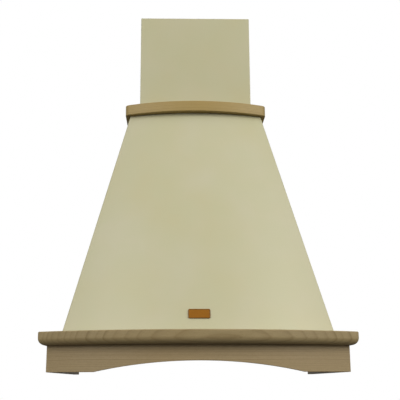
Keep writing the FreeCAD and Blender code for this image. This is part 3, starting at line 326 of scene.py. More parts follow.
def sheet_metal(name, tone, lay, roughness, dull, dust=0.3):
    """Rolled or brushed sheet. Lay gives how fine the lines are on each axis."""
    material, tree, shader, where = new_material(name, metallic=1.0)
    marks = use(tree, "brushed", Vector=where, Lay=lay)
    darker = shaded(tone, dull)
    ground = mixed(tree, ramp(tree, marks["Cloud"], [(0.3, 0.0), (0.7, 1.0)]), tone, darker)
    lined = mixed(tree, calc(tree, "MULTIPLY", marks["Lines"], 0.35), ground, darker)
    dirt = use(tree, "dust", Vector=where, Amount=dust)
    paint(tree, shader, mixed(tree, dirt["Dust"], lined, DUST_COLOUR))
    gloss(tree, shader, marks["Lines"], 0.22, roughness)
    bump(tree, shader, marks["Lines"], 0.12, 0.0001)
    return material


def galvanised():
    """Hot-dip zinc with its crystal spangle."""
    material, tree, shader, where = new_material("galvanised_sheet", metallic=1.0)
    spangle = add(tree, "ShaderNodeTexVoronoi", {"Vector": where, "Scale": 240.0, "Randomness": 1.0})
    grey = add(tree, "ShaderNodeSeparateXYZ", {0: spangle.outputs["Color"]}).outputs[0]
    tone = mixed(tree, grey, (0.50, 0.51, 0.52), (0.60, 0.61, 0.62))
    dirt = use(tree, "dust", Vector=where, Amount=0.4)
    paint(tree, shader, mixed(tree, dirt["Dust"], tone, DUST_COLOUR))
    gloss(tree, shader, grey, 0.20, 0.34)
    bump(tree, shader, spangle.outputs["Distance"], 0.05, 0.0002)
    return material


def moulded(name, tone, roughness, depth=0.12, dust=0.35):
    """Moulded plastic with a spark-eroded grain."""
    material, tree, shader, where = new_material(name, specular_ior_level=0.45)
    film = use(tree, "paint", Vector=where, Peel=1400.0, Drift=24.0)
    shade = shaded(tone, 0.82)
    ground = mixed(tree, ramp(tree, film["Drift"], [(0.3, 0.0), (0.7, 1.0)]), tone, shade)
    dirt = use(tree, "dust", Vector=where, Amount=dust)
    paint(tree, shader, mixed(tree, dirt["Dust"], ground, DUST_COLOUR))
    gloss(tree, shader, film["Drift"], 0.14, roughness)
    bump(tree, shader, film["Peel"], depth, 0.0002)
    return material


def amber_plate():
    """Amber-coloured plate whose sunk field is lighter than its rim, the rim's darker tone being painted
    shade round the plate's edge; the field is marked on the mesh.
    """
    material, tree, shader, where = new_material("amber_badge", specular_ior_level=0.2)
    film = use(tree, "paint", Vector=where, Peel=900.0, Drift=60.0)
    field = add(tree, "ShaderNodeAttribute", attribute_name="field").outputs["Fac"]
    # The rim's colour is darker than the field's: painted shade round the edge of the plate.
    rim = mixed(tree, film["Drift"], (0.150, 0.056, 0.003), (0.180, 0.070, 0.004))
    middle = mixed(tree, film["Drift"], (0.228, 0.084, 0.002), (0.265, 0.101, 0.003))
    paint(tree, shader, mixed(tree, field, rim, middle))
    gloss(tree, shader, film["Drift"], 0.16, 0.26)
    bump(tree, shader, film["Peel"], 0.05, 0.0001)
    return material


def lamp_glass():
    """Clear pressed glass."""
    material, tree, shader, where = new_material("lamp_glass", transmission_weight=1.0, ior=1.50)
    film = use(tree, "paint", Vector=where, Peel=420.0, Drift=30.0)
    paint(tree, shader, mixed(tree, film["Drift"], (0.93, 0.96, 0.95), (0.98, 0.99, 0.98)))
    gloss(tree, shader, film["Drift"], 0.06, 0.05)
    bump(tree, shader, film["Peel"], 0.06, 0.0002)
    return material


MATERIALS = {
    "cream_paint": cream_paint(),
    "rail_front": beech(
        "beech_rail_front", turn=-0.065, pith=(-804.0, -323.0), ring=6.0, wobble=1.5,
        tone=(0.286, 0.224, 0.112), contrast=0.80,
    ),
    "rail_side": beech("beech_rail_side", turn=math.pi / 2, pith=(340.0, -300.0), ring=4.0),
    "apron_front": beech(
        "beech_apron_front", pith=(-445.0, -900.0), ring=3.2, wobble=5.0,
        tone=(0.320, 0.247, 0.133), streak=60.0,
    ),
    "apron_side": beech("beech_apron_side", turn=math.pi / 2, pith=(260.0, -900.0), ring=3.2),
    "collar_front": beech(
        "beech_collar_front", pith=(-240.0, 700.0), ring=3.4, tone=(0.338, 0.257, 0.099), warmth=0.25
    ),
    "collar_side": beech(
        "beech_collar_side", turn=math.pi / 2, pith=(180.0, 700.0), ring=3.4,
        tone=(0.310, 0.238, 0.096), warmth=0.15,
    ),
    "block": beech("beech_block", turn=0.7, pith=(-300.0, -200.0), ring=4.0, tone=(0.27, 0.20, 0.12)),
    "badge_brass": amber_plate(),
    "galvanised": galvanised(),
    "tray_steel": sheet_metal(
        "tray_steel", (0.56, 0.55, 0.54), lay=(18.0, 1500.0, 1500.0), roughness=0.26, dull=0.80, dust=0.15
    ),
    "filter_aluminium": sheet_metal(
        "filter_aluminium", (0.74, 0.74, 0.75), lay=(900.0, 60.0, 900.0), roughness=0.28, dull=0.85
    ),
    "zinc": sheet_metal("zinc_screw", (0.52, 0.52, 0.50), lay=(900.0,) * 3, roughness=0.30, dull=0.75),
    "lamp_white": moulded("lamp_white", (0.78, 0.77, 0.73), roughness=0.34),
    "lamp_chrome": sheet_metal(
        "lamp_chrome", (0.82, 0.82, 0.83), lay=(2600.0,) * 3, roughness=0.05, dull=0.95, dust=0.0
    ),
    "lamp_glass": lamp_glass(),
    "bulb": moulded("frosted_bulb", (0.88, 0.86, 0.78), roughness=0.30, dust=0.0),
    "fascia_plastic": moulded("brown_fascia", (0.045, 0.036, 0.028), roughness=0.32, depth=0.10),
    "button_plastic": moulded("cream_button", (0.52, 0.48, 0.34), roughness=0.30, depth=0.06, dust=0.1),
    "grey_plastic": moulded("grey_housing", (0.19, 0.19, 0.20), roughness=0.48),
    "black_plastic": moulded("black_moulding", (0.028, 0.028, 0.030), roughness=0.42),
    "motor_aluminium": sheet_metal(
        "cast_motor", (0.55, 0.56, 0.57), lay=(500.0,) * 3, roughness=0.42, dull=0.75, dust=0.4
    ),
    "shaft_steel": sheet_metal(
        "ground_steel", (0.62, 0.62, 0.62), lay=(40.0, 1600.0, 1600.0), roughness=0.16, dull=0.85, dust=0.1
    ),
}


# ---------------------------------------------------------------- meshes


WELD = 2e-6
FLAT = math.radians(0.4)
CREASE = 32.0

# How wide the softened edges are.
EDGE_FINE = 0.0002
EDGE_THIN = 0.0003
EDGE_PLAIN = 0.0004
EDGE_SOFT = 0.0005
EDGE_ROUND = 0.0006
EDGE_SEGMENTS = 2


def merged_copy(node):
    """A bmesh of a CAD node with its loose triangles merged and its flat faces joined."""
    shape = bmesh.new()
    shape.from_mesh(NODES[node].data)
    bmesh.ops.remove_doubles(shape, verts=shape.verts, dist=WELD)
    bmesh.ops.dissolve_limit(shape, angle_limit=FLAT, verts=shape.verts, edges=shape.edges)
    return shape


def mesh_of(shape, name):
    mesh = bpy.data.meshes.new(name)
    shape.to_mesh(mesh)
    shape.free()
    return mesh


def in_place_of(node, shape, name, material, bevel=0.0, crease=CREASE):
    """Puts a bmesh in a CAD node's place: smooth shaded, on the node's body, its edges softened."""
    mesh = mesh_of(shape, name)
    mesh.shade_smooth()
    mesh.set_sharp_from_angle(angle=math.radians(crease))
    mesh.materials.clear()
    mesh.materials.append(MATERIALS[material])
    piece = bpy.data.objects.new(name, mesh)
    bpy.context.scene.collection.objects.link(piece)
    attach(piece, BODY_OF[node])
    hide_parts(node)
    if bevel:
        soft = piece.modifiers.new("softened", "BEVEL")
        soft.width = bevel
        soft.segments = EDGE_SEGMENTS
        soft.limit_method = "ANGLE"
        soft.angle_limit = math.radians(crease)
        soft.harden_normals = True
    return piece


def refined(node, name, material, bevel=0.0):
    """The CAD node's own shape with a finish and softened edges."""
    return in_place_of(node, merged_copy(node), name, material, bevel)


def outermost(shape, way):
    """The flat face that lies furthest out one way."""
    way = Vector(way)
    facing = [face for face in shape.faces if face.normal.dot(way) > 0.99]
    return max(facing, key=lambda face: face.calc_center_median().dot(way))


def sunk(shape, face, margin, depth, slope=None):
    """Sinks the middle of a flat face behind a rim, down a slope as wide as the rim unless it is given."""
    inward = -face.normal * depth
    for width in (margin, margin if slope is None else slope):
        bmesh.ops.inset_region(shape, faces=[face], thickness=width, use_even_offset=True)
    bmesh.ops.translate(shape, verts=list(face.verts), vec=inward)
    return face


def place_on(axis, centre, radius, angle, level):
    """A point at a radius and angle about an axis through the centre, and at a level along it."""
    across = (radius * math.cos(angle), radius * math.sin(angle))
    spread = {"X": (level, *across), "Z": (*across, level)}[axis]
    return Vector(centre) + Vector(spread)


RIB_DEPTH = 0.955


def reach_at(form, radius, angle, index):
    """Radius of a turned section at an angle: plain round, ribbed or six-sided."""
    if form == "ribbed" and (index // 2) % 2:
        return radius * RIB_DEPTH
    if form == "hexagon":
        third = math.pi / 3
        return radius * math.cos(third / 2) / math.cos(angle % third - third / 2)
    return radius


def lathed(shape, axis, centre, profile, steps, closed=False):
    """Adds a turned form. The profile's points are (radius, level) or (radius, level, form), in mm."""
    rings = []
    for point in profile:
        radius, level = point[0] * MM, point[1] * MM
        form = point[2] if len(point) > 2 else "round"
        if radius == 0.0:
            rings.append([shape.verts.new(place_on(axis, centre, 0.0, 0.0, level))] * steps)
            continue
        ring = []
        for index in range(steps):
            angle = 2 * math.pi * index / steps
            reach = reach_at(form, radius, angle, index)
            ring.append(shape.verts.new(place_on(axis, centre, reach, angle, level)))
        rings.append(ring)
    made = []
    for first, second in zip(rings, rings[1:] + rings[:1] if closed else rings[1:]):
        for index in range(steps):
            after = (index + 1) % steps
            corners = list(dict.fromkeys((first[index], first[after], second[after], second[index])))
            if len(corners) > 2:
                made.append(shape.faces.new(corners))
    bmesh.ops.recalc_face_normals(shape, faces=made)


# ---------------------------------------------------------------- repeated forms


def geometry_tree(name, inputs):
    """An empty Geometry Nodes tree with named inputs, given as (socket type, value)."""
    tree = bpy.data.node_groups.new(name, "GeometryNodeTree")
    tree.interface.new_socket("Geometry", in_out="INPUT", socket_type="NodeSocketGeometry")
    for label, (kind, value) in inputs.items():
        socket = tree.interface.new_socket(label, in_out="INPUT", socket_type=kind)
        if value is not None:
            socket.default_value = value
    tree.interface.new_socket("Geometry", in_out="OUTPUT", socket_type="NodeSocketGeometry")
    return tree, tree.nodes.new("NodeGroupInput").outputs


def about_z(tree, angle):
    """A rotation about Z."""
    turn = {"Axis": (0.0, 0.0, 1.0), "Angle": angle}
    return add(tree, "FunctionNodeAxisAngleToRotation", turn).outputs[0]


def finish_tree(tree, instances, material):
    """Realizes the instances, gives them their material and closes the tree."""
    real = add(tree, "GeometryNodeRealizeInstances", {"Geometry": instances}).outputs[0]
    finished = add(tree, "GeometryNodeSetMaterial", {"Geometry": real, "Material": material}).outputs[0]
    tree.links.new(finished, tree.nodes.new("NodeGroupOutput").inputs[0])


def grown(tree, seeds, values):
    """Runs a tree over a mesh of seed points and returns the plain mesh that it makes."""
    holder = bpy.data.objects.new(tree.name, seeds)
    bpy.context.scene.collection.objects.link(holder)
    modifier = holder.modifiers.new(tree.name, "NODES")
    modifier.node_group = tree
    for item in tree.interface.items_tree:
        if item.in_out == "INPUT" and item.name in values:
            modifier[item.identifier] = values[item.name]
    evaluated = holder.evaluated_get(bpy.context.evaluated_depsgraph_get())
    mesh = bpy.data.meshes.new_from_object(evaluated)
    holder.modifiers.remove(modifier)
    bpy.data.objects.remove(holder)
    return mesh


SCREW_SEED = 4


def screw_tree():
    """Stands a screw at each seed, along its "stands" attribute, with a cross recess cut into its head."""
    inputs = {
        "Screw": ("NodeSocketObject", None),
        "Thread": ("NodeSocketObject", None),
        "Head Top": ("NodeSocketFloat", 0.002),
        "Recess Span": ("NodeSocketFloat", 0.0034),
        "Recess Width": ("NodeSocketFloat", 0.0008),
        "Recess Depth": ("NodeSocketFloat", 0.0011),
        "Seed": ("NodeSocketInt", SCREW_SEED),
    }
    tree, given = geometry_tree("pan_head_screws", inputs)
    screw = add(tree, "GeometryNodeObjectInfo", {"Object": given["Screw"]}).outputs["Geometry"]
    thread = add(tree, "GeometryNodeObjectInfo", {"Object": given["Thread"]}).outputs["Geometry"]
    tall = calc(tree, "MULTIPLY", given["Recess Depth"], 2.0)
    top = add(tree, "ShaderNodeCombineXYZ", {2: given["Head Top"]}).outputs[0]
    head = add(tree, "GeometryNodeMeshBoolean", {0: screw}, operation="DIFFERENCE", solver="EXACT")
    span, width = given["Recess Span"], given["Recess Width"]
    for along, across in ((span, width), (width, span)):
        block = add(tree, "ShaderNodeCombineXYZ", {0: along, 1: across, 2: tall}).outputs[0]
        cube = add(tree, "GeometryNodeMeshCube", {"Size": block}).outputs[0]
        raised = add(tree, "GeometryNodeTransform", {"Geometry": cube, "Translation": top}).outputs[0]
        tree.links.new(raised, head.inputs[1])
    whole = tree.nodes.new("GeometryNodeJoinGeometry")
    tree.links.new(head.outputs[0], whole.inputs[0])
    tree.links.new(thread, whole.inputs[0])
    way = add(tree, "GeometryNodeInputNamedAttribute", {"Name": "stands"}, data_type="FLOAT_VECTOR")
    upright = add(tree, "FunctionNodeAlignRotationToVector", {"Vector": way.outputs[0]}, axis="Z").outputs[0]
    limits = {2: 0.0, 3: math.pi, "Seed": given["Seed"]}
    angle = add(tree, "FunctionNodeRandomValue", limits, data_type="FLOAT").outputs[1]
    turn = add(
        tree, "FunctionNodeRotateRotation",
        {"Rotation": upright, "Rotate By": about_z(tree, angle)}, rotation_space="LOCAL",
    ).outputs[0]
    stood = add(
        tree, "GeometryNodeInstanceOnPoints",
        {"Points": given["Geometry"], "Instance": whole.outputs[0], "Rotation": turn},
    ).outputs[0]
    finish_tree(tree, stood, MATERIALS["zinc"])
    return tree


KINKS = 31
ROWS = 76
LAYERS = 4


def expanded_metal_tree():
    """Layers of zigzag strands, every other row turned end for end, so that they meet in diamonds."""
    inputs = {
        "Kinks": ("NodeSocketInt", KINKS),
        "Rows": ("NodeSocketInt", ROWS),
        "Layers": ("NodeSocketInt", LAYERS),
        "Kink": ("NodeSocketFloat", 0.007),
        "Row": ("NodeSocketFloat", 0.0035),
        "Strand Width": ("NodeSocketFloat", 0.0012),
        "Strand Height": ("NodeSocketFloat", 0.0008),
        "Layer Step": ("NodeSocketVector", (0.0029, 0.0010, 0.0016)),
    }
    tree, given = geometry_tree("expanded_metal", inputs)

    def spaced(count, step):
        """Points in a row about the middle, a step apart."""
        back = calc(tree, "MULTIPLY", calc(tree, "SUBTRACT", count, 1.0), -0.5)
        start = add(tree, "ShaderNodeVectorMath", {0: step, "Scale": back}, operation="SCALE").outputs[0]
        return add(
            tree, "GeometryNodeMeshLine",
            {"Count": count, "Start Location": start, "Offset": step}, mode="OFFSET",
        ).outputs[0]

    def odd():
        """1 on every other point and 0 on the rest."""
        return calc(tree, "MODULO", tree.nodes.new("GeometryNodeInputIndex").outputs[0], 2.0)

    along = add(tree, "ShaderNodeCombineXYZ", {0: given["Kink"]}).outputs[0]
    sideways = add(tree, "ShaderNodeCombineXYZ", {1: given["Row"]}).outputs[0]
    swing = calc(tree, "MULTIPLY", calc(tree, "SUBTRACT", odd(), 0.5), given["Row"])
    kinked = add(
        tree, "GeometryNodeSetPosition",
        {
            "Geometry": spaced(given["Kinks"], along),
            "Offset": add(tree, "ShaderNodeCombineXYZ", {1: swing}).outputs[0],
        },
    ).outputs[0]
    wire = add(tree, "GeometryNodeMeshToCurve", {0: kinked}).outputs[0]
    section = add(
        tree, "GeometryNodeCurvePrimitiveQuadrilateral",
        {"Width": given["Strand Width"], "Height": given["Strand Height"]}, mode="RECTANGLE",
    ).outputs[0]
    strand = add(
        tree, "GeometryNodeCurveToMesh", {"Curve": wire, "Profile Curve": section, "Fill Caps": True}
    ).outputs[0]
    half_turn = about_z(tree, calc(tree, "MULTIPLY", odd(), math.pi))
    rows = spaced(given["Rows"], sideways)
    sheet = add(
        tree, "GeometryNodeInstanceOnPoints", {"Points": rows, "Instance": strand, "Rotation": half_turn}
    ).outputs[0]
    layers = add(
        tree, "GeometryNodeInstanceOnPoints",
        {"Points": spaced(given["Layers"], given["Layer Step"]), "Instance": sheet},
    ).outputs[0]
    stack = tree.nodes.new("GeometryNodeInstanceOnPoints")
    tree.links.new(given["Geometry"], stack.inputs["Points"])
    tree.links.new(layers, stack.inputs["Instance"])
    finish_tree(tree, stack.outputs[0], MATERIALS["filter_aluminium"])
    return tree


# ---------------------------------------------------------------- the hood's pieces


def wood():
    for part in ("rail", "apron", "collar"):
        refined(f"{part}_front", f"beech_{part}_front", f"{part}_front", EDGE_SOFT)
        for word in SIDES:
            refined(f"{part}_{word}", f"beech_{part}_{word}", f"{part}_side", EDGE_SOFT)
    refined("corner_blocks", "beech_corner_blocks", "block", EDGE_ROUND)


def sheet_work():
    refined("canopy_shell", "painted_canopy", "cream_paint", EDGE_THIN)
    refined("chimney_cover", "painted_chimney", "cream_paint", EDGE_THIN)
    refined("chimney_extension", "painted_extension", "cream_paint", EDGE_THIN)
    refined("back_plate", "galvanised_back_plate", "galvanised", EDGE_THIN)
    refined("chimney_bracket", "galvanised_bracket", "galvanised", EDGE_THIN)
    refined("blower_struts", "galvanised_struts", "galvanised", EDGE_PLAIN)
    refined("motor_spider", "galvanised_spider", "galvanised", EDGE_PLAIN)
    refined("base_tray", "steel_tray", "tray_steel", EDGE_THIN)


BADGE_RIM = 0.0008
BADGE_SLOPE = 0.0004
BADGE_DEPTH = 0.0003


def badge():
    """The plate with a rim round a sunk field, which the amber finish finds by its "field" attribute."""
    shape = merged_copy("badge_plate")
    marks = shape.faces.layers.float.new("field")
    front = max((face for face in shape.faces if face.normal.y < -0.9), key=lambda face: face.calc_area())
    sunk(shape, front, BADGE_RIM, BADGE_DEPTH, BADGE_SLOPE)[marks] = 1.0
    in_place_of("badge_plate", shape, "blank_badge", "badge_brass", EDGE_FINE)


def middle_of(node):
    low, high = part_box(node)
    return (low + high) / 2


def half_of(node, axis):
    """Half of a node's reach along an axis, in mm."""
    low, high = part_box(node)
    return (high - low)[axis] / 2 / MM


def filters(mesh_tree):
    for word in SIDES:
        refined(f"filter_frame_{word}", f"filter_rim_{word}", "filter_aluminium", EDGE_SOFT)
        refined(f"filter_latch_{word}", f"filter_catch_{word}", "button_plastic", EDGE_SOFT)
        node = f"filter_mesh_{word}"
        seeds = bpy.data.meshes.new(node)
        seeds.from_pydata([middle_of(node)], [], [])
        pad = bmesh.new()
        pad.from_mesh(grown(mesh_tree, seeds, {"Kinks": KINKS, "Rows": ROWS, "Layers": LAYERS}))
        in_place_of(node, pad, f"filter_pad_{word}", "filter_aluminium")


LENS_RIPPLES = 9
LENS_RIPPLE = 0.28
LENS_STEPS = 8
LENS_BAND = 2.6
LENS_FIELD = 3.2
LENS_LIFT = 0.15


def lamp_lens(word):
    """Pressed glass: concentric ripples below, a plain band round the edge, flat above."""
    node = f"lamp_lens_{word}"
    rim = half_of(node, 0)
    half = half_of(node, 2)
    profile = [(0.0, half), (rim, half), (rim, -half), (rim - LENS_BAND, -half)]
    steps = LENS_RIPPLES * LENS_STEPS
    for step in range(steps, -1, -1):
        share = step / steps
        ripple = LENS_RIPPLE * (1 - math.cos(2 * math.pi * LENS_RIPPLES * share))
        profile.append(((rim - LENS_FIELD) * share, LENS_LIFT - half + ripple))
    shape = bmesh.new()
    lathed(shape, "Z", middle_of(node), profile, steps=96)
    in_place_of(node, shape, f"lamp_cover_{word}", "lamp_glass", crease=50.0)


# Radius and depth below the top of the stepped base and the globe, in mm.
BULB = ((9.0, 0.0), (9.0, 3.0), (8.4, 3.0), (8.4, 5.6), (7.6, 7.6), (6.4, 9.6), (4.6, 11.2), (2.4, 11.9))


def lamp_bulb(word):
    """A capsule bulb with a stepped base."""
    node = f"lamp_bulb_{word}"
    half = half_of(node, 2)
    profile = [(0.0, half), *((radius, half - drop) for radius, drop in BULB), (0.0, -half)]
    shape = bmesh.new()
    lathed(shape, "Z", middle_of(node), profile, steps=48)
    in_place_of(node, shape, f"lamp_globe_{word}", "bulb", crease=40.0)


def lamps():
    for word in SIDES:
        refined(f"lamp_housing_{word}", f"lamp_cup_{word}", "lamp_white", EDGE_THIN)
        refined(f"lamp_bezel_{word}", f"lamp_ring_{word}", "lamp_chrome")
        lamp_lens(word)
        lamp_bulb(word)


# Radius and height of a pip and of a ring, and where the pips stand on each button, in mm.
PIP = ((0.0, 0.05), (0.45, 0.10), (0.75, 0.30), (0.85, 0.60))
PIP_RING = ((2.6, 0.60), (2.5, 0.25), (2.2, 0.08), (1.9, 0.25), (1.8, 0.60))
PIP_PLACES = {
    "off": (),
    "speed_one": ((0.0, 0.0),),
    "speed_two": ((-1.6, 0.0), (1.6, 0.0)),
    "speed_three": ((-3.0, 0.0), (0.0, 0.0), (3.0, 0.0)),
    "light": (
        (0.0, 0.0), (3.0, 0.0), (-3.0, 0.0), (0.0, 2.4), (0.0, -2.4),
        (2.1, 1.7), (-2.1, 1.7), (2.1, -1.7), (-2.1, -1.7),
    ),
}


BUTTON_RIM = 0.0008
BUTTON_DISH = 0.0005


def buttons():
    """Dished caps told apart by touch: a ring, one to three pips, and a pip with rays."""
    for word, places in PIP_PLACES.items():
        node = f"button_{word}"
        shape = merged_copy(node)
        sunk(shape, outermost(shape, (0.0, 0.0, -1.0)), BUTTON_RIM, BUTTON_DISH)
        foot = middle_of(node)
        foot.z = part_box(node)[0].z
        for x, y in places:
            lathed(shape, "Z", foot + Vector((x, y, 0.0)) * MM, PIP, steps=16)
        if not places:
            lathed(shape, "Z", foot, PIP_RING, steps=32)
        in_place_of(node, shape, f"push_{word}", "button_plastic", EDGE_THIN)
    refined("control_fascia", "switch_fascia", "fascia_plastic", EDGE_SOFT)
    refined("control_box", "switch_box", "grey_plastic", EDGE_ROUND)


MOTOR_BORE = 4.05
MOTOR_RADIUS = 41.0
MOTOR_BOSS = 5.0


def motor():
    """Die-cast body with cooling ribs along its side and a boss round the shaft."""
    half = half_of("motor", 0)
    cover = half - MOTOR_BOSS
    profile = [
        (MOTOR_BORE, -half), (39.5, -half), (MOTOR_RADIUS, -half + 1.5), (MOTOR_RADIUS, -half + 4.0),
        (MOTOR_RADIUS, -half + 5.0, "ribbed"), (MOTOR_RADIUS, cover - 12.0, "ribbed"),
        (MOTOR_RADIUS, cover - 11.0), (MOTOR_RADIUS, cover - 5.0), (39.5, cover - 1.5), (36.0, cover),
        (20.0, cover), (19.0, cover - 0.8), (13.5, cover - 0.8), (12.5, cover), (12.0, cover + 4.2),
        (11.2, half), (MOTOR_BORE, half),
    ]
    shape = bmesh.new()
    lathed(shape, "X", middle_of("motor"), profile, steps=144, closed=True)
    in_place_of("motor", shape, "blower_motor", "motor_aluminium")


GLAND_BORE = 3.6


def cable_gland():
    """Moulded gland: flange inside the box, six-sided body and a ribbed cap round the bore."""
    top = half_of("cable_gland", 2)
    profile = [
        (GLAND_BORE, -top), (8.6, -top), (9.0, 0.4 - top), (9.0, 4.0 - top), (6.0, 4.0 - top),
        (6.0, 6.0 - top), (9.0, 6.0 - top, "hexagon"), (9.0, 10.5 - top, "hexagon"), (7.6, 10.6 - top),
        (7.6, 11.4 - top), (8.6, 11.5 - top, "ribbed"), (8.4, top - 3.0, "ribbed"), (7.2, top - 0.8),
        (6.4, top), (3.9, top), (GLAND_BORE, top - 0.4),
    ]
    shape = bmesh.new()
    lathed(shape, "Z", middle_of("cable_gland"), profile, steps=72, closed=True)
    in_place_of("cable_gland", shape, "cord_gland", "black_plastic")


LID_MARGIN = 0.004
LID_SLOPE = 0.001
LID_DEPTH = 0.0007


def terminal_box():
    refined("electronics_box", "terminal_box", "grey_plastic", EDGE_ROUND)
    shape = merged_copy("electronics_lid")
    sunk(shape, outermost(shape, (0.0, -1.0, 0.0)), LID_MARGIN, LID_DEPTH, LID_SLOPE)
    in_place_of("electronics_lid", shape, "terminal_lid", "grey_plastic", EDGE_PLAIN)


def blower():
    for word in SIDES:
        refined(f"scroll_{word}", f"scroll_casing_{word}", "grey_plastic", EDGE_ROUND)
    refined("impeller_hub", "blower_wheel_hub", "black_plastic", EDGE_THIN)
    refined("impeller_rings", "blower_wheel_rings", "black_plastic", EDGE_THIN)
    refined("impeller_blades", "blower_wheel_blades", "black_plastic")
    motor()
    refined("motor_shaft", "blower_shaft", "shaft_steel", EDGE_PLAIN)
    refined("outlet_spigot", "duct_spigot", "black_plastic", EDGE_PLAIN)
    refined("flap_front", "draught_flap_front", "black_plastic", EDGE_FINE)
    refined("flap_rear", "draught_flap_rear", "black_plastic", EDGE_FINE)
    refined("flap_pin", "draught_pin", "shaft_steel", EDGE_THIN)
    cable_gland()
    terminal_box()


SCREW_AXES = {
    "tray_screws": 2, "collar_screws": 2, "chassis_screws": 1,
    "blower_screws": 0, "motor_screws": 0, "chimney_screws": 0,
}
# Radius and height of the head above its seat, in mm.
PAN_HEAD = [(0.0, 2.0), (1.3, 1.97), (2.3, 1.80), (3.0, 1.45), (3.45, 0.95), (3.6, 0.45), (3.6, 0.0)]
CORE_RADIUS = 1.40
THREAD_RADIUS = 1.75
THREAD_PITCH = 1.4
THREAD_STEPS = 16
THREAD_START = 0.4
THREAD_FLANK = 0.3
THREAD_SINK = 0.05
POINT_LENGTH = 1.6
POINT_RADIUS = 0.45


def islands(shape):
    """The vertices of each separate solid."""
    left = set(shape.verts)
    while left:
        found = set()
        edge = [left.pop()]
        while edge:
            vert = edge.pop()
            found.add(vert)
            near = {link.other_vert(vert) for link in vert.link_edges} & left
            left -= near
            edge.extend(near)
        yield found


def screw_places(node, axis):
    """Seat of the head, way that the head looks and length of the shank of each screw in a node."""
    shape = merged_copy(node)
    places = []
    for solid in islands(shape):
        low = Vector([min(vert.co[i] for vert in solid) for i in range(3)])
        high = Vector([max(vert.co[i] for vert in solid) for i in range(3)])
        middle = (low + high) / 2

        def width_at(level):
            near = [vert.co for vert in solid if abs(vert.co[axis] - level) < 1e-5]
            offsets = [Vector([0.0 if i == axis else (co - middle)[i] for i in range(3)]) for co in near]
            return max(offset.length for offset in offsets)

        way = 1 if width_at(high[axis]) > width_at(low[axis]) else -1
        seat = middle.copy()
        seat[axis] = (high if way > 0 else low)[axis] - way * PAN_HEAD[0][1] * MM
        stands = Vector([way if i == axis else 0.0 for i in range(3)])
        places.append((seat, stands, round((high - low)[axis] / MM - PAN_HEAD[0][1], 2)))
    shape.free()
    return places


def point_of(length):
    return min(POINT_LENGTH, length / 3)


def screw_solid(length):
    """Pan head, core and point, with the seat of the head at the origin and the head above it."""
    shape = bmesh.new()
    point = point_of(length)
    shank = [(CORE_RADIUS, 0.0), (CORE_RADIUS, point - length), (POINT_RADIUS, -length), (0.0, -length)]
    lathed(shape, "Z", (0.0, 0.0, 0.0), PAN_HEAD + shank, steps=32)
    return bpy.data.objects.new("screw_solid", mesh_of(shape, "screw_solid"))


def screw_thread(length):
    """A helical ridge round the core."""
    shape = bmesh.new()
    turns = max(1, round((length - point_of(length) - THREAD_FLANK * 2) / THREAD_PITCH))
    rows = []
    for step in range(turns * THREAD_STEPS + 1):
        angle = 2 * math.pi * step / THREAD_STEPS
        level = -THREAD_START - THREAD_PITCH * step / THREAD_STEPS
        faded = min(1.0, step / THREAD_STEPS, turns - step / THREAD_STEPS)
        crest = CORE_RADIUS + (THREAD_RADIUS - CORE_RADIUS) * faded
        root = CORE_RADIUS - THREAD_SINK
        section = ((root, level + THREAD_FLANK), (crest, level), (root, level - THREAD_FLANK))
        rows.append([shape.verts.new(place_on("Z", (0, 0, 0), r * MM, angle, z * MM)) for r, z in section])
    for first, second in zip(rows, rows[1:]):
        for a, b in ((0, 1), (1, 2), (2, 0)):
            shape.faces.new((first[a], first[b], second[b], second[a]))
    shape.faces.new(rows[0])
    shape.faces.new(reversed(rows[-1]))
    bmesh.ops.recalc_face_normals(shape, faces=shape.faces)
    return bpy.data.objects.new("screw_thread", mesh_of(shape, "screw_thread"))


def screws(tree):
    for node, axis in SCREW_AXES.items():
        places = screw_places(node, axis)
        shape = bmesh.new()
        for length in sorted({place[2] for place in places}):
            chosen = [place for place in places if place[2] == length]
            seeds = bpy.data.meshes.new(node)
            seeds.from_pydata([seat for seat, _, _ in chosen], [], [])
            stands = seeds.attributes.new("stands", "FLOAT_VECTOR", "POINT")
            stands.data.foreach_set("vector", [part for _, way, _ in chosen for part in way])
            solid = screw_solid(length)
            thread = screw_thread(length)
            shape.from_mesh(grown(tree, seeds, {"Screw": solid, "Thread": thread, "Seed": SCREW_SEED}))
            bpy.data.objects.remove(solid)
            bpy.data.objects.remove(thread)
        in_place_of(node, shape, f"pan_{node}", "zinc", crease=28.0)


# ---------------------------------------------------------------- studio


def camera():
    level = math.cos(CAMERA_PITCH)
    forward = Vector((math.sin(CAMERA_YAW) * level, math.cos(CAMERA_YAW) * level, math.sin(CAMERA_PITCH)))
    right = Vector((math.cos(CAMERA_YAW), -math.sin(CAMERA_YAW), 0.0))
    up = right.cross(forward)
    rolled_right = right * math.cos(CAMERA_ROLL) + up * math.sin(CAMERA_ROLL)
    rolled_up = up * math.cos(CAMERA_ROLL) - right * math.sin(CAMERA_ROLL)
    lens = bpy.data.cameras.new("camera")
    lens.sensor_width = SENSOR
    lens.lens = FOCAL_PIXELS * SENSOR / FRAME_PIXELS
    lens.shift_x = (FRAME_PIXELS / 2 - AXIS_PIXEL) / FRAME_PIXELS
    stand = bpy.data.objects.new("camera", lens)
    axes = Matrix((rolled_right, rolled_up, -forward)).transposed().to_4x4()
    stand.matrix_world = Matrix.Translation(CAMERA_PLACE) @ axes
    bpy.context.scene.collection.objects.link(stand)
    bpy.context.scene.camera = stand


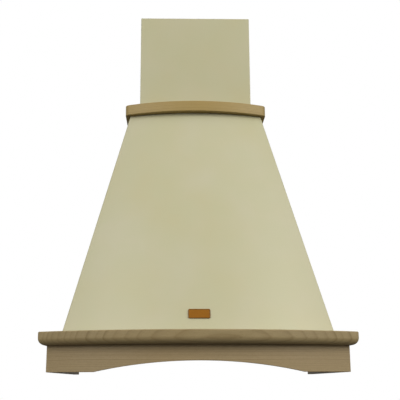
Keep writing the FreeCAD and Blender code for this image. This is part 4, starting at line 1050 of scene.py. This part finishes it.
def floor():
    """Pale to the camera, and grey enough to the hood that its underside stays in shade."""
    mesh = bpy.data.meshes.new("studio_floor")
    far = FLOOR_HALF
    corners = [(x, y, FLOOR_LEVEL) for x, y in ((-far, -far), (far, -far), (far, far), (-far, far))]
    mesh.from_pydata(corners, [], [(0, 1, 2, 3)])
    material, tree, shader, where = new_material("studio_floor", roughness=0.9, specular_ior_level=0.1)
    cloud = noise(tree, where, 0.7)
    paint(tree, shader, mixed(tree, cloud, (0.190, 0.185, 0.175), (0.210, 0.205, 0.195)))
    pale = mixed(tree, cloud, (0.925, 0.925, 0.925), (0.945, 0.945, 0.94))
    glow = add(tree, "ShaderNodeEmission", {"Color": pale})
    seen = tree.nodes.new("ShaderNodeLightPath").outputs["Is Camera Ray"]
    choice = add(tree, "ShaderNodeMixShader", {0: seen, 1: shader.outputs[0], 2: glow.outputs[0]})
    surface = next(node for node in tree.nodes if node.type == "OUTPUT_MATERIAL")
    tree.links.new(choice.outputs[0], surface.inputs["Surface"])
    mesh.materials.append(material)
    plane = bpy.data.objects.new("studio_floor", mesh)
    bpy.context.scene.collection.objects.link(plane)


# Brightness of the surroundings from straight below to straight above, and the soft boxes' places and watts.
SKY = [(0.0, 0.02), (0.42, 0.05), (0.55, 0.70), (1.0, 0.95)]
SKY_STRENGTH = 0.75
SOFT_BOXES = {"soft_box_left": ((-1.7, -2.2, 1.1), 34.0), "soft_box_right": ((1.9, -2.0, 1.1), 44.0)}
SOFT_BOX_SIZE = (1.4, 1.8)
SOFT_BOX_AIM = Vector((0.0, -0.3, 0.05))


def soft_box(name, place, power):
    lamp = bpy.data.lights.new(name, "AREA")
    lamp.shape = "RECTANGLE"
    lamp.size, lamp.size_y = SOFT_BOX_SIZE
    lamp.energy = power
    stand = bpy.data.objects.new(name, lamp)
    stand.location = place
    stand.rotation_euler = (SOFT_BOX_AIM - Vector(place)).to_track_quat("-Z", "Y").to_euler()
    bpy.context.scene.collection.objects.link(stand)


def studio():
    """White surroundings that light the hood evenly from above, and two soft boxes in front."""
    world = bpy.data.worlds.new("studio")
    world.use_nodes = True
    tree = world.node_tree
    tree.nodes.clear()
    direction = tree.nodes.new("ShaderNodeTexCoord").outputs["Generated"]
    upward = add(tree, "ShaderNodeSeparateXYZ", {0: direction}).outputs[2]
    glow = ramp(tree, calc(tree, "MULTIPLY_ADD", upward, 0.5, 0.5), SKY)
    soft = add(tree, "ShaderNodeBackground", {"Color": glow, "Strength": SKY_STRENGTH})
    plain = add(tree, "ShaderNodeBackground", {"Color": (1.0, 1.0, 1.0, 1.0), "Strength": 1.0})
    seen = tree.nodes.new("ShaderNodeLightPath").outputs["Is Camera Ray"]
    choice = add(tree, "ShaderNodeMixShader", {0: seen, 1: soft.outputs[0], 2: plain.outputs[0]})
    tree.links.new(choice.outputs[0], tree.nodes.new("ShaderNodeOutputWorld").inputs[0])
    bpy.context.scene.world = world
    for name, (place, power) in SOFT_BOXES.items():
        soft_box(name, place, power)
    bpy.context.scene.view_settings.view_transform = "Standard"


camera()
studio()
floor()
wood()
sheet_work()
badge()
filters(expanded_metal_tree())
lamps()
buttons()
blower()
screws(screw_tree())
